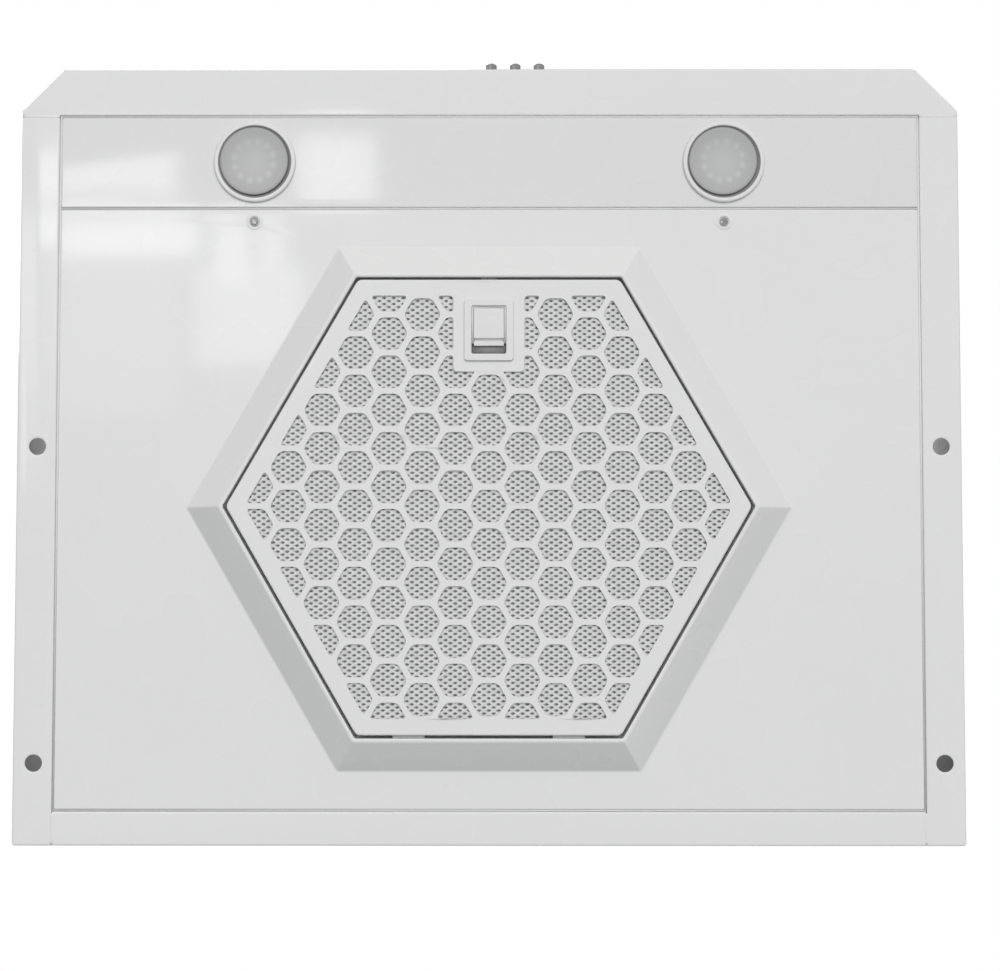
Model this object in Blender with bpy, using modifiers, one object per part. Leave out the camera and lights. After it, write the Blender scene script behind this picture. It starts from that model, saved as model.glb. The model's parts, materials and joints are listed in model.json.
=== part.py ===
"""Under cabinet range hood, 600 mm class, as an assembly of separate sheet metal and moving pieces.

Metres. +Z is up, -Y is the front and +Y is the wall. The origin is on the upper face of the top
panel, in the middle of the hood's width and depth, where the hood meets the cabinet.
"""

import math

import bmesh
import bpy
from mathutils import Matrix, Vector

# Canopy, outside
WIDTH = 0.600
DEPTH = 0.4945
HEIGHT = 0.130
TOP_DEPTH = 0.3265
FASCIA_HEIGHT = 0.050
MITRE = 0.0272
SHEET = 0.0010
BEND = 0.0015
HEM = 0.006
LIP = 0.008
TOP_FLANGE = 0.012

# Bottom frame and the two panels inside it
FRONT_FLANGE = 0.0305
SIDE_FLANGE = 0.025
REAR_FLANGE = 0.0215
LIGHT_PANEL_DEPTH = 0.060
REVEAL = 0.0012
PANEL_SHEET = 0.0008
PANEL_BEND = 0.0010

# Clearances
SEAM = 0.0003
SLIP = 0.0005

# Cabinet screws: keyholes in the top, access holes under them
KEYHOLE_SPACING = 0.200
KEYHOLE_FROM_REAR = 0.0515
KEYHOLE_INSET = 0.013
KEYHOLE_HEAD_RADIUS = 0.0058
KEYHOLE_SLOT_RADIUS = 0.0028
KEYHOLE_SLOT_LENGTH = 0.014
ACCESS_RADIUS = 0.0054
ACCESS_DIMPLE = 0.0011

# Hexagonal collar and filter cassette; sizes are across flats
COLLAR_MARGIN = 0.02525
COLLAR_SLOPE = 0.02175
COLLAR_DROP = 0.018
RIM_WIDTH = 0.0022
COLLAR_WALL = 0.0155
SEAT_WIDTH = 0.007
FILTER_GAP = 0.0013
FILTER_RECESS = 0.0015
FILTER_SHEET = 0.0008
FILTER_HEIGHT = 0.0115
BORDER = 0.0103
HOLE_PITCH = 0.0241
HOLE_FLATS = 0.0209
SMALLEST_HOLE = 0.12
BACK_FRAME_WIDTH = 0.013
BACK_FRAME_SHEET = 0.0008
BACK_FRAME_DROP = 0.0016
TAB_SPACING = 0.100
TAB_WIDTH = 0.020
TAB_RISE = 0.005
TAB_REACH = 0.0034
TAB_SLOT = 0.0032

# Latch
LATCH_INSET = 0.0320
BEZEL_WIDTH = 0.031
BEZEL_LENGTH = 0.039
BEZEL_PROUD = 0.0013
LATCH_OPENING_WIDTH = 0.0218
LATCH_OPENING_LENGTH = 0.0303
LATCH_WALL = 0.0016
PADDLE_WIDTH = 0.0188
PADDLE_LENGTH = 0.0191
PADDLE_STEP = 0.0046
PADDLE_FRONT_GAP = 0.0015
PADDLE_THICKNESS = 0.0030
TONGUE_WIDTH = 0.010
TONGUE_THICKNESS = 0.0016
TONGUE_REACH = 0.0022
PAD_MARGIN = 0.0068
LATCH_TRAVEL = 0.0047
LATCH_SPRING_RADIUS = 0.0022
LATCH_SPRING_WIRE = 0.00035
LATCH_SPRING_TURNS = 5
SPRING_STEPS = 8

# Lamps
LAMP_SPACING = 0.300
LAMP_LENS_RADIUS = 0.0230
LAMP_RING = 0.0032
LAMP_PROUD = 0.0017
LAMP_WALL = 0.0009
LAMP_BARREL = 0.010
LAMP_HOUSING = 0.013
LED_COUNT = 12
LED_RING_RADIUS = 0.0128
LED_SIZE = 0.003

# Panel screws
PANEL_SCREW_SPACING = 0.300
PANEL_SCREW_INSET = 0.0085
SCREW_SHANK = 0.0018
SCREW_HEAD = 0.0034
SCREW_HEAD_DEPTH = 0.0011
SCREW_LENGTH = 0.008
SCREW_RIM = 0.0003
SCREW_SLOT_DEPTH = 0.0007
POST_RADIUS = 0.005
FLUSH_DEPTH = 0.0002
RECESS_TURN = math.radians(20)

# Push buttons
BUTTON_COUNT = 3
BUTTON_PITCH = 0.0155
FIRST_BUTTON_X = 0.001
BUTTON_RISE = 0.019
BUTTON_RADIUS = 0.00375
BUTTON_PROUD = 0.0085
BUTTON_TRAVEL = 0.003
BUTTON_STEM_RADIUS = 0.002
SWITCH_DEPTH = 0.013
SWITCH_HEIGHT = 0.016
STEM_LENGTH = 0.0130
STEM_BORE = 0.0112
SWITCH_MARGIN = 0.009
BRACKET_SHEET = 0.0012

# Blower
WHEEL_X = -0.050
BLOWER_SETBACK = 0.015
WHEEL_RADIUS = 0.0625
WHEEL_HEIGHT = 0.056
BLADE_COUNT = 24
BLADE_CHORD = 0.014
BLADE_THICKNESS = 0.0010
BLADE_PITCH = math.radians(32)
SCROLL_TOP = 0.008
SCROLL_HEIGHT = 0.076
SCROLL_SHEET = 0.0012
SCROLL_GAP = 0.0075
SCROLL_GROWTH = 0.040
TONGUE_ANGLE = 60
SCROLL_STEP = 15
INLET_RADIUS = WHEEL_RADIUS - 0.0105
BELL_RADIUS = 0.004
OUTLET_MARGIN = 0.0005
MOTOR_RADIUS = 0.033
MOTOR_HEIGHT = 0.040
MOTOR_CHAMFER = 0.006
HUB_RISE = 0.006
NUT_HEIGHT = 0.006
NUT_FLATS = 0.013
SHAFT_RADIUS = 0.003
BORE_CLEARANCE = 0.0004

# Duct
DUCT_FROM_REAR = 0.0965
DUCT_RADIUS = 0.0595
DUCT_WALL = 0.0008
DUCT_RISE = 0.052
DUCT_FLANGE = 0.011
DAMPER_RISE = 0.012
DAMPER_GAP = 0.0011
DAMPER_SHEET = 0.0008
DAMPER_PIN_RADIUS = 0.0015
KNUCKLE_RADIUS = 0.0030
KNUCKLE_LENGTH = 0.018
KNUCKLE_GAP = 0.001

# Rear outlet cover and wiring
OUTLET_WIDTH = 0.180
OUTLET_HEIGHT = 0.070
OUTLET_LAP = 0.010
BOX_WIDTH = 0.080
BOX_DEPTH = 0.060
BOX_HEIGHT = 0.045
BOX_SHEET = 0.0010
GROMMET_RADIUS = 0.011
GROMMET_BRIM = GROMMET_RADIUS + 0.002
GROMMET_BORE = GROMMET_RADIUS - 0.0033
GROMMET_LIP = 0.0015
CAN_RADIUS = 0.0125
CAN_GAP = 0.0035
CAN_HEIGHT = 0.052
DRIVER_WIDTH = 0.060
DRIVER_DEPTH = 0.024
DRIVER_HEIGHT = 0.016
WIRE_RADIUS = 0.0016

# Places worked out from the sizes above
FRONT = -DEPTH / 2
REAR = DEPTH / 2
SIDE = WIDTH / 2
BASE = -HEIGHT
TOP_FRONT = REAR - TOP_DEPTH
OPEN_FRONT = FRONT + FRONT_FLANGE
OPEN_REAR = REAR - REAR_FLANGE
OPEN_SIDE = SIDE - SIDE_FLANGE
LIGHT_REAR = OPEN_FRONT + LIGHT_PANEL_DEPTH
SLOPE_DROP = HEIGHT - FASCIA_HEIGHT
SLOPE_NORMAL = Vector((0, -SLOPE_DROP, TOP_FRONT - FRONT)).normalized()
HEX_Y = (LIGHT_REAR + OPEN_REAR) / 2
COLLAR_OUTER = OPEN_REAR - LIGHT_REAR - 2 * COLLAR_MARGIN
COLLAR_RIM = COLLAR_OUTER - 2 * COLLAR_SLOPE
RIM_Z = BASE - COLLAR_DROP
PLATE_Z = RIM_Z + FILTER_RECESS
FILTER_FLATS = COLLAR_RIM - 2 * FILTER_GAP
FILTER_REAR = HEX_Y + FILTER_FLATS / 2
FILTER_FRONT = HEX_Y - FILTER_FLATS / 2
LATCH_Y = FILTER_FRONT + LATCH_INSET
BACK_FRAME_Z = PLATE_Z + FILTER_HEIGHT - BACK_FRAME_DROP
LAMP_Y = (OPEN_FRONT + LIGHT_REAR) / 2
LAMP_RADIUS = LAMP_LENS_RADIUS + LAMP_RING
LAMP_BARREL_RADIUS = LAMP_LENS_RADIUS + SEAM + LAMP_WALL
SCREW_Y = LIGHT_REAR + PANEL_SCREW_INSET
BUTTON_Z = BASE + BUTTON_RISE
SWITCH_Y = FRONT + SHEET + 0.007
LAST_BUTTON_X = FIRST_BUTTON_X + (BUTTON_COUNT - 1) * BUTTON_PITCH
DUCT_Y = REAR - DUCT_FROM_REAR
SCROLL_START = WHEEL_RADIUS + SCROLL_GAP
WHEEL_Y = TOP_FRONT + BLOWER_SETBACK + SCROLL_START
SCROLL_FLOOR = -SCROLL_TOP - SCROLL_HEIGHT
WHEEL_TOP = -SCROLL_TOP - SCROLL_SHEET - 0.005
WHEEL_FLOOR = WHEEL_TOP - WHEEL_HEIGHT
DUCT_BORE = DUCT_RADIUS - DUCT_WALL
BOX_X = OPEN_SIDE - 0.012 - BOX_WIDTH / 2
BOX_Y = OPEN_REAR - 0.012 - BOX_DEPTH / 2
KEYHOLE_X = SIDE - KEYHOLE_INSET
KEYHOLE_YS = (REAR - KEYHOLE_FROM_REAR - KEYHOLE_SPACING, REAR - KEYHOLE_FROM_REAR)

SEGMENTS = 24
COS30 = math.cos(math.radians(30))
SIDES = (("left", -1), ("right", 1))


# ---------------------------------------------------------------- scene and helpers


def clear_scene():
    for obj in list(bpy.data.objects):
        bpy.data.objects.remove(obj, do_unlink=True)


def new_collection(name):
    found = bpy.data.collections.new(name)
    bpy.context.scene.collection.children.link(found)
    return found


clear_scene()
PARTS = new_collection("under_cabinet_range_hood")
CUTTERS = new_collection("cutters")


def finish(name, colour, roughness, metallic=0.0):
    """The material of this name, made once."""
    made = bpy.data.materials.get(name)
    if made is None:
        made = bpy.data.materials.new(name)
        made.use_nodes = True
        shader = made.node_tree.nodes["Principled BSDF"]
        shader.inputs["Base Color"].default_value = (*colour, 1.0)
        shader.inputs["Roughness"].default_value = roughness
        shader.inputs["Metallic"].default_value = metallic
    return made


def enamel(node):
    return finish("enamel_" + node, (0.80, 0.80, 0.79), 0.25)


def galvanised(node):
    return finish("galvanised_" + node, (0.60, 0.61, 0.62), 0.40, 1.0)


def moulded(node, colour):
    return finish("moulded_" + node, colour, 0.45)


def bright_metal(node):
    return finish("bright_metal_" + node, (0.72, 0.72, 0.73), 0.18, 1.0)


def add_object(name, mesh, material=None):
    """A part, or a cutter where it has no material."""
    obj = bpy.data.objects.new(name, mesh)
    if material is None:
        CUTTERS.objects.link(obj)
        obj.hide_render = True
        obj.display_type = "WIRE"
    else:
        PARTS.objects.link(obj)
        mesh.materials.append(material)
    return obj


def mesh_from(name, bm):
    mesh = bpy.data.meshes.new(name)
    bm.to_mesh(mesh)
    bm.free()
    return mesh


def boolean(obj, cutter, operation="DIFFERENCE"):
    modifier = obj.modifiers.new(operation.lower() + "_" + cutter.name, "BOOLEAN")
    modifier.operation = operation
    modifier.object = cutter
    return obj


def box(name, low, high, material=None, bevel=0.0):
    bm = bmesh.new()
    bmesh.ops.create_cube(bm, size=1.0)
    size = Vector(high) - Vector(low)
    bmesh.ops.scale(bm, vec=size, verts=bm.verts)
    obj = add_object(name, mesh_from(name, bm), material)
    obj.location = (Vector(high) + Vector(low)) / 2
    if bevel:
        rounded = obj.modifiers.new("edges", "BEVEL")
        rounded.width = bevel
        rounded.segments = 2
    return obj


AXIS_TURN = {
    "Z": Matrix.Identity(4),
    "X": Matrix(((0, 0, 1, 0), (1, 0, 0, 0), (0, 1, 0, 0), (0, 0, 0, 1))),
    "Y": Matrix(((1, 0, 0, 0), (0, 0, -1, 0), (0, 1, 0, 0), (0, 0, 0, 1))),
}


def plate(name, outlines, low, high, material=None, axis="Z"):
    """A flat outline with holes, given thickness along an axis. Outlines are (x, y), (y, z) or (x, z)."""
    curve = bpy.data.curves.new(name, "CURVE")
    curve.dimensions = "2D"
    curve.fill_mode = "BOTH"
    curve.extrude = (high - low) / 2
    for outline in outlines:
        spline = curve.splines.new("POLY")
        spline.points.add(len(outline) - 1)
        for point, (u, v) in zip(spline.points, outline):
            point.co = (u, v, 0, 1)
        spline.use_cyclic_u = True
    middle = (low + high) / 2
    shift = Matrix.Translation((0, 0, -middle if axis == "Y" else middle))
    return mesh_of_curve(name, curve, AXIS_TURN[axis] @ shift, material)


def mesh_of_curve(name, curve, placed, material):
    """The curve's solid as a mesh object, its caps welded to its sides."""
    source = bpy.data.objects.new(name + "_curve", curve)
    source.matrix_world = placed
    PARTS.objects.link(source)
    bpy.context.view_layer.update()
    graph = bpy.context.evaluated_depsgraph_get()
    mesh = bpy.data.meshes.new_from_object(source.evaluated_get(graph))
    bpy.data.objects.remove(source)
    bm = bmesh.new()
    bm.from_mesh(mesh)
    bmesh.ops.remove_doubles(bm, verts=bm.verts, dist=0.00001)
    bmesh.ops.recalc_face_normals(bm, faces=bm.faces)
    bm.to_mesh(mesh)
    bm.free()
    mesh.name = name
    mesh.materials.clear()
    obj = add_object(name, mesh, material)
    obj.matrix_world = placed
    return obj


def turned(name, profile, centre, material=None, axis="Z", segments=SEGMENTS):
    """A profile of (radius, height) turned about an axis; one that starts and ends at radius 0 is solid."""
    closed = profile[0][0] > 0 or profile[-1][0] > 0
    area = sum(a[0] * b[1] - b[0] * a[1] for a, b in zip(profile, profile[1:] + profile[:1]))
    points = profile if area < 0 else profile[::-1]
    bm = bmesh.new()
    verts = [bm.verts.new((r, 0, z)) for r, z in points]
    for first, second in zip(verts, verts[1:]):
        bm.edges.new((first, second))
    if closed:
        bm.edges.new((verts[-1], verts[0]))
    obj = add_object(name, mesh_from(name, bm), material)
    screw = obj.modifiers.new("turn", "SCREW")
    screw.steps = segments
    screw.render_steps = segments
    screw.use_merge_vertices = True
    screw.merge_threshold = 0.00001
    obj.matrix_world = Matrix.Translation(centre) @ AXIS_TURN[axis]
    return obj


def cylinder(name, radius, low, high, centre, material=None, axis="Z", segments=SEGMENTS):
    profile = [(0, high), (radius, high), (radius, low), (0, low)]
    return turned(name, profile, centre, material, axis, segments)


def tube(name, points, radius, material, closed_ends=True, resolution=1):
    curve = bpy.data.curves.new(name, "CURVE")
    curve.dimensions = "3D"
    curve.bevel_depth = radius
    curve.bevel_resolution = resolution
    curve.use_fill_caps = closed_ends
    spline = curve.splines.new("POLY")
    spline.points.add(len(points) - 1)
    for point, place in zip(spline.points, points):
        point.co = (*place, 1)
    return mesh_of_curve(name, curve, Matrix.Identity(4), material)


def smooth_route(corners, spacing=0.012):
    """Points along a Hermite curve through the corners, each stretch's tangents as long as itself."""
    around = [2 * corners[0] - corners[1], *corners, 2 * corners[-1] - corners[-2]]
    headings = [(c - a).normalized() for a, c in zip(around, around[2:])]
    route = []
    for a, b, leave, arrive in zip(corners, corners[1:], headings, headings[1:]):
        length = (b - a).length
        steps = max(2, round(length / spacing))
        for i in range(steps):
            t = i / steps
            place = a * (2 * t**3 - 3 * t**2 + 1) + b * (3 * t**2 - 2 * t**3)
            place += leave * length * (t**3 - 2 * t**2 + t) + arrive * length * (t**3 - t**2)
            route.append(place)
    return [*route, corners[-1]]


def hexagon(flats, x=0.0, y=HEX_Y):
    """A hexagon with two sides along X, by its size across flats."""
    radius = flats / 2 / COS30
    turns = [math.radians(60 * i) for i in range(6)]
    return [(x + radius * math.cos(a), y + radius * math.sin(a)) for a in turns]


def rectangle(x, y, width, length):
    return [
        (x - width / 2, y - length / 2),
        (x + width / 2, y - length / 2),
        (x + width / 2, y + length / 2),
        (x - width / 2, y + length / 2),
    ]


def circle(x, y, radius, count=SEGMENTS):
    turns = [2 * math.pi * i / count for i in range(count)]
    return [(x + radius * math.cos(a), y + radius * math.sin(a)) for a in turns]


def axis_at(name, place):
    """An empty on a joint's axis, which its moving pieces are parented to."""
    empty = bpy.data.objects.new(name, None)
    empty.location = place
    PARTS.objects.link(empty)
    bpy.context.view_layer.update()
    return empty


def carry(empty, *pieces):
    for piece in pieces:
        piece.parent = empty
        piece.matrix_parent_inverse = empty.matrix_world.inverted()


# ---------------------------------------------------------------- sheet metal


def cut_away(bm, point, normal, cap=False):
    """Removes what lies beyond a plane, on the side that its normal points to."""
    geometry = [*bm.verts, *bm.edges, *bm.faces]
    bmesh.ops.bisect_plane(
        bm, geom=geometry, plane_co=point, plane_no=normal, clear_outer=True, dist=0.000001
    )
    if cap:
        rim = [edge for edge in bm.edges if edge.is_boundary]
        bmesh.ops.holes_fill(bm, edges=rim)


def score(bm, point, normal):
    geometry = [*bm.verts, *bm.edges, *bm.faces]
    bmesh.ops.bisect_plane(bm, geom=geometry, plane_co=point, plane_no=normal, dist=0.000001)


def drop_faces(bm, rule):
    faces = [f for f in bm.faces if rule(f.calc_center_median(), f.normal)]
    bmesh.ops.delete(bm, geom=faces, context="FACES")


def edges_where(bm, rule):
    found = []
    for edge in bm.edges:
        if edge.is_boundary and all(rule(vert.co) for vert in edge.verts):
            found.append(edge)
    return found


def fold(bm, edges, step):
    """Extrudes boundary edges by a step and returns the new outer edges."""
    made = bmesh.ops.extrude_edge_only(bm, edges=edges)["geom"]
    verts = [item for item in made if isinstance(item, bmesh.types.BMVert)]
    bmesh.ops.translate(bm, vec=step, verts=verts)
    return [item for item in made if isinstance(item, bmesh.types.BMEdge) and item.is_boundary]


def near(value, target):
    return abs(value - target) < 0.000005


def round_folds(bm, outward, bend):
    """Turns an open surface to face outward and rounds every fold in it."""
    bmesh.ops.recalc_face_normals(bm, faces=bm.faces)
    bm.normal_update()
    sample = max(bm.faces, key=lambda face: face.calc_area() * abs(face.normal.dot(outward)))
    if sample.normal.dot(outward) < 0:
        bmesh.ops.reverse_faces(bm, faces=bm.faces)
    bm.normal_update()
    folds = []
    for edge in bm.edges:
        if edge.is_manifold and edge.calc_face_angle() > math.radians(5):
            folds.append(edge)
    bmesh.ops.bevel(
        bm, geom=folds, offset=bend, offset_type="OFFSET", segments=2, profile=0.5, affect="EDGES"
    )


def sheet_object(name, bm, thickness):
    """A part made by thickening an open surface away from its outer face."""
    obj = add_object(name, mesh_from(name, bm), enamel(name))
    solid = obj.modifiers.new("thickness", "SOLIDIFY")
    solid.thickness = thickness
    solid.offset = -1
    solid.use_even_offset = True
    return obj


def canopy_form():
    """The closed outer form: a box cut by the sloped front and by the two mitred corners."""
    bm = bmesh.new()
    bmesh.ops.create_cube(bm, size=1.0)
    bmesh.ops.scale(bm, vec=(WIDTH, DEPTH, HEIGHT), verts=bm.verts)
    bmesh.ops.translate(bm, vec=(0, 0, BASE / 2), verts=bm.verts)
    cut_away(bm, (0, TOP_FRONT, 0), SLOPE_NORMAL, cap=True)
    for _, side in SIDES:
        cut_away(bm, (side * (SIDE - MITRE), FRONT, 0), (side, -1, 0), cap=True)
    bmesh.ops.recalc_face_normals(bm, faces=bm.faces)
    return bm


def below_hem(distance):
    """A point on the plane that runs this far inside the sloped front."""
    return Vector((0, TOP_FRONT, 0)) - SLOPE_NORMAL * distance


def front_shell():
    """Slope, fascia, mitred corners and front flange, bent from one sheet and welded."""
    bm = canopy_form()
    edge_y = TOP_FRONT - SEAM - SHEET * abs(SLOPE_NORMAL.y)
    cut_away(bm, (0, edge_y, 0), (0, 1, 0))
    score(bm, (0, OPEN_FRONT, 0), (0, 1, 0))
    score(bm, below_hem(HEM), SLOPE_NORMAL)
    hem_point = below_hem(HEM)

    def unwanted(centre, normal):
        behind = centre.y > OPEN_FRONT
        if abs(normal.x) > 0.9:
            return behind and (centre - hem_point).dot(SLOPE_NORMAL) < 0
        return normal.z < -0.9 and behind

    drop_faces(bm, unwanted)
    for _, side in SIDES:
        score(bm, (side * OPEN_SIDE, 0, 0), (side, 0, 0))
    inner = edges_where(
        bm,
        lambda co: near(co.y, OPEN_FRONT) and near(co.z, BASE) and abs(co.x) < OPEN_SIDE + SEAM,
    )
    fold(bm, inner, (0, 0, LIP))
    round_folds(bm, Vector((0, -1, 1)), BEND)
    top = edges_where(bm, lambda co: near(co.y, edge_y) and co.z > -SHEET and abs(co.x) < SIDE - SHEET)
    height = max(vert.co.z for edge in top for vert in edge.verts)
    under = fold(bm, top, (0, 0, -SHEET - SEAM - height))
    under = [edge for edge in under if all(near(vert.co.z, -SHEET - SEAM) for vert in edge.verts)]
    fold(bm, under, (0, TOP_FLANGE, 0))
    return sheet_object("front_shell", bm, SHEET)


def side_panel(name, side):
    """One end of the canopy, with its bottom flange, rear return and lip."""
    bm = canopy_form()
    cut_away(bm, (side * OPEN_SIDE, 0, 0), (-side, 0, 0))
    cut_away(bm, (0, OPEN_FRONT + SEAM, 0), (0, -1, 0))
    cut_away(bm, (0, 0, -HEM - SEAM), (0, 0, 1))
    cut_away(bm, below_hem(HEM + SEAM), SLOPE_NORMAL)
    score(bm, (0, OPEN_REAR, 0), (0, 1, 0))
    inner = edges_where(
        bm,
        lambda co: near(abs(co.x), OPEN_SIDE) and near(co.z, BASE) and co.y < OPEN_REAR + SEAM,
    )
    fold(bm, inner, (0, 0, LIP))
    round_folds(bm, Vector((side, 0, 0)), BEND)
    return cut_access_holes(sheet_object(name, bm, SHEET), side)


def cut_access_holes(panel, side):
    """Screwdriver holes under the keyholes, with a dimpled rim."""
    for row, y in enumerate(KEYHOLE_YS):
        flare = ACCESS_RADIUS + ACCESS_DIMPLE
        profile = [
            (0, BASE + 3 * SHEET),
            (ACCESS_RADIUS, BASE + 3 * SHEET),
            (ACCESS_RADIUS, BASE + 0.6 * SHEET),
            (flare, BASE),
            (flare, BASE - SHEET),
            (0, BASE - SHEET),
        ]
        centre = (side * KEYHOLE_X, y, 0)
        boolean(panel, turned(f"cut_access_{side}_{row}", profile, centre, segments=24))
    return panel


def back_panel():
    """The wall side, between the returns of the side panels, with the rear flange."""
    bm = canopy_form()
    for _, side in SIDES:
        cut_away(bm, (side * (OPEN_SIDE - SEAM), 0, 0), (side, 0, 0))
    cut_away(bm, (0, OPEN_REAR, 0), (0, -1, 0))
    cut_away(bm, (0, 0, -HEM - SEAM), (0, 0, 1))
    inner = edges_where(bm, lambda co: near(co.y, OPEN_REAR) and near(co.z, BASE))
    fold(bm, inner, (0, 0, LIP))
    round_folds(bm, Vector((0, 1, 0)), BEND)
    panel = sheet_object("back_panel", bm, SHEET)
    opening = rectangle(0, BASE / 2, OUTLET_WIDTH, OUTLET_HEIGHT)
    boolean(panel, plate("cut_outlet", [opening], REAR - 0.01, REAR + 0.01, axis="Y"))
    for x, z in outlet_screws():
        centre = (x, REAR, z)
        boolean(
            panel,
            cylinder(f"cut_{x:.3f}", SCREW_SHANK + SLIP, -0.01, 0.01, centre, None, "Y", 12),
        )
    return panel


def outlet_screws():
    reach = OUTLET_WIDTH / 2 + OUTLET_LAP / 2
    return [(-reach, BASE / 2), (reach, BASE / 2)]


def keyhole(x, y):
    """A round entry with a narrower slot towards the front."""
    half = math.asin(KEYHOLE_SLOT_RADIUS / KEYHOLE_HEAD_RADIUS)
    points = []
    for i in range(15):
        turn = -math.pi / 2 + half + (2 * math.pi - 2 * half) * i / 14
        points.append((x + KEYHOLE_HEAD_RADIUS * math.cos(turn), y + KEYHOLE_HEAD_RADIUS * math.sin(turn)))
    for i in range(7):
        turn = math.pi + math.pi * i / 6
        points.append(
            (
                x + KEYHOLE_SLOT_RADIUS * math.cos(turn),
                y - KEYHOLE_SLOT_LENGTH + KEYHOLE_SLOT_RADIUS * math.sin(turn),
            )
        )
    return points


def top_panel():
    """The flat top with its down-turned hems, the duct hole, four keyholes and the cable hole."""
    bm = canopy_form()
    cut_away(bm, (0, TOP_FRONT, 0), (0, -1, 0))
    cut_away(bm, (0, 0, -HEM), (0, 0, -1))
    round_folds(bm, Vector((0, 0, 1)), BEND)
    panel = sheet_object("top_panel", bm, SHEET)
    holes = [keyhole(side * KEYHOLE_X, y) for _, side in SIDES for y in KEYHOLE_YS]
    holes.append(circle(0, DUCT_Y, DUCT_RADIUS + SLIP, 48))
    holes.append(circle(BOX_X, BOX_Y, GROMMET_BRIM + SEAM, 24))
    for i, outline in enumerate(holes):
        boolean(panel, plate(f"cut_top_{i}", [outline], -3 * SHEET, 3 * SHEET))
    for i, (x, y) in enumerate(blower_screws()):
        boolean(panel, countersink(f"cut_countersink_{i}", x, y))
    return panel


def outline_surface(outlines, z=BASE):
    """A flat open surface with holes, its faces pointing down."""
    curve = bpy.data.curves.new("outline", "CURVE")
    curve.dimensions = "2D"
    curve.fill_mode = "BOTH"
    for outline in outlines:
        spline = curve.splines.new("POLY")
        spline.points.add(len(outline) - 1)
        for point, (u, v) in zip(spline.points, outline):
            point.co = (u, v, 0, 1)
        spline.use_cyclic_u = True
    obj = mesh_of_curve("outline", curve, Matrix.Identity(4), None)
    bm = bmesh.new()
    bm.from_mesh(obj.data)
    bmesh.ops.translate(bm, vec=(0, 0, z), verts=bm.verts)
    bpy.data.objects.remove(obj)
    inner = [edge for edge in bm.edges if edge.is_manifold]
    bmesh.ops.beautify_fill(bm, faces=bm.faces, edges=inner)
    bm.normal_update()
    upward = [face for face in bm.faces if face.normal.z > 0]
    bmesh.ops.reverse_faces(bm, faces=upward)
    return bm


def light_panel():
    """The front inner panel, with a hole for each lamp and its edges turned up."""
    width = 2 * (OPEN_SIDE - REVEAL)
    low = OPEN_FRONT + REVEAL
    high = LIGHT_REAR - REVEAL / 2
    bm = outline_surface([rectangle(0, (low + high) / 2, width, high - low)])
    rim = [edge for edge in bm.edges if edge.is_boundary]
    fold(bm, rim, (0, 0, LIP))
    round_folds(bm, Vector((0, 0, -1)), PANEL_BEND)
    panel = sheet_object("light_panel", bm, PANEL_SHEET)
    for word, side in SIDES:
        hole = circle(side * LAMP_SPACING / 2, LAMP_Y, LAMP_BARREL_RADIUS + SLIP)
        boolean(panel, plate("cut_lamp_" + word, [hole], BASE - SHEET, BASE + 3 * SHEET))
    return panel


def radial_step(bm, edges, flats, z):
    """Extrudes the collar's loop to another hexagon size and height."""
    start = max(abs(vert.co.y - HEX_Y) for edge in edges for vert in edge.verts)
    outer = fold(bm, edges, (0, 0, 0))
    verts = {vert for edge in outer for vert in edge.verts}
    for vert in verts:
        vert.co.x *= flats / 2 / start
        vert.co.y = HEX_Y + (vert.co.y - HEX_Y) * flats / 2 / start
        vert.co.z = z
    return outer


def bottom_panel():
    """The large inner panel: a hexagonal collar stands down from it and holds the filter."""
    width = 2 * (OPEN_SIDE - REVEAL)
    low = LIGHT_REAR + REVEAL / 2
    high = OPEN_REAR - REVEAL
    outlines = [rectangle(0, (low + high) / 2, width, high - low), hexagon(COLLAR_OUTER)]
    bm = outline_surface(outlines)
    reach = COLLAR_OUTER / 2 / COS30 + SEAM
    collar = edges_where(bm, lambda co: math.hypot(co.x, co.y - HEX_Y) < reach)
    rim = [edge for edge in bm.edges if edge.is_boundary and edge not in collar]
    fold(bm, rim, (0, 0, LIP))
    collar = radial_step(bm, collar, COLLAR_RIM + 2 * RIM_WIDTH, RIM_Z)
    collar = radial_step(bm, collar, COLLAR_RIM, RIM_Z)
    collar = radial_step(bm, collar, COLLAR_RIM, RIM_Z + COLLAR_WALL)
    radial_step(bm, collar, COLLAR_RIM - 2 * SEAT_WIDTH, RIM_Z + COLLAR_WALL)
    round_folds(bm, Vector((0, 0, -1)), PANEL_BEND)
    panel = sheet_object("bottom_panel", bm, PANEL_SHEET)
    cut_filter_slots(panel)
    for word, side in SIDES:
        boolean(panel, panel_screw_cutter(word, side))
    return panel


def cut_filter_slots(panel):
    """Slots in the collar's inner wall: two for the filter's rear tabs and one for the latch tongue."""
    low = PLATE_Z + TAB_RISE - SLIP
    for word, side in SIDES:
        x = side * TAB_SPACING / 2
        cutter = box(
            "cut_tab_" + word,
            (x - TAB_WIDTH / 2 - SLIP, FILTER_REAR + FILTER_GAP / 2, low),
            (x + TAB_WIDTH / 2 + SLIP, FILTER_REAR + FILTER_GAP + 2 * PANEL_SHEET, low + TAB_SLOT),
        )
        boolean(panel, cutter)
    cutter = box(
        "cut_catch",
        (-TONGUE_WIDTH / 2 - SLIP, FILTER_FRONT - FILTER_GAP - 2 * PANEL_SHEET, tongue_low() - SLIP),
        (TONGUE_WIDTH / 2 + SLIP, FILTER_FRONT - FILTER_GAP / 2, tongue_high() + SLIP),
    )
    boolean(panel, cutter)


def screw_place(side):
    return (side * PANEL_SCREW_SPACING / 2, SCREW_Y, BASE)


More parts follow.
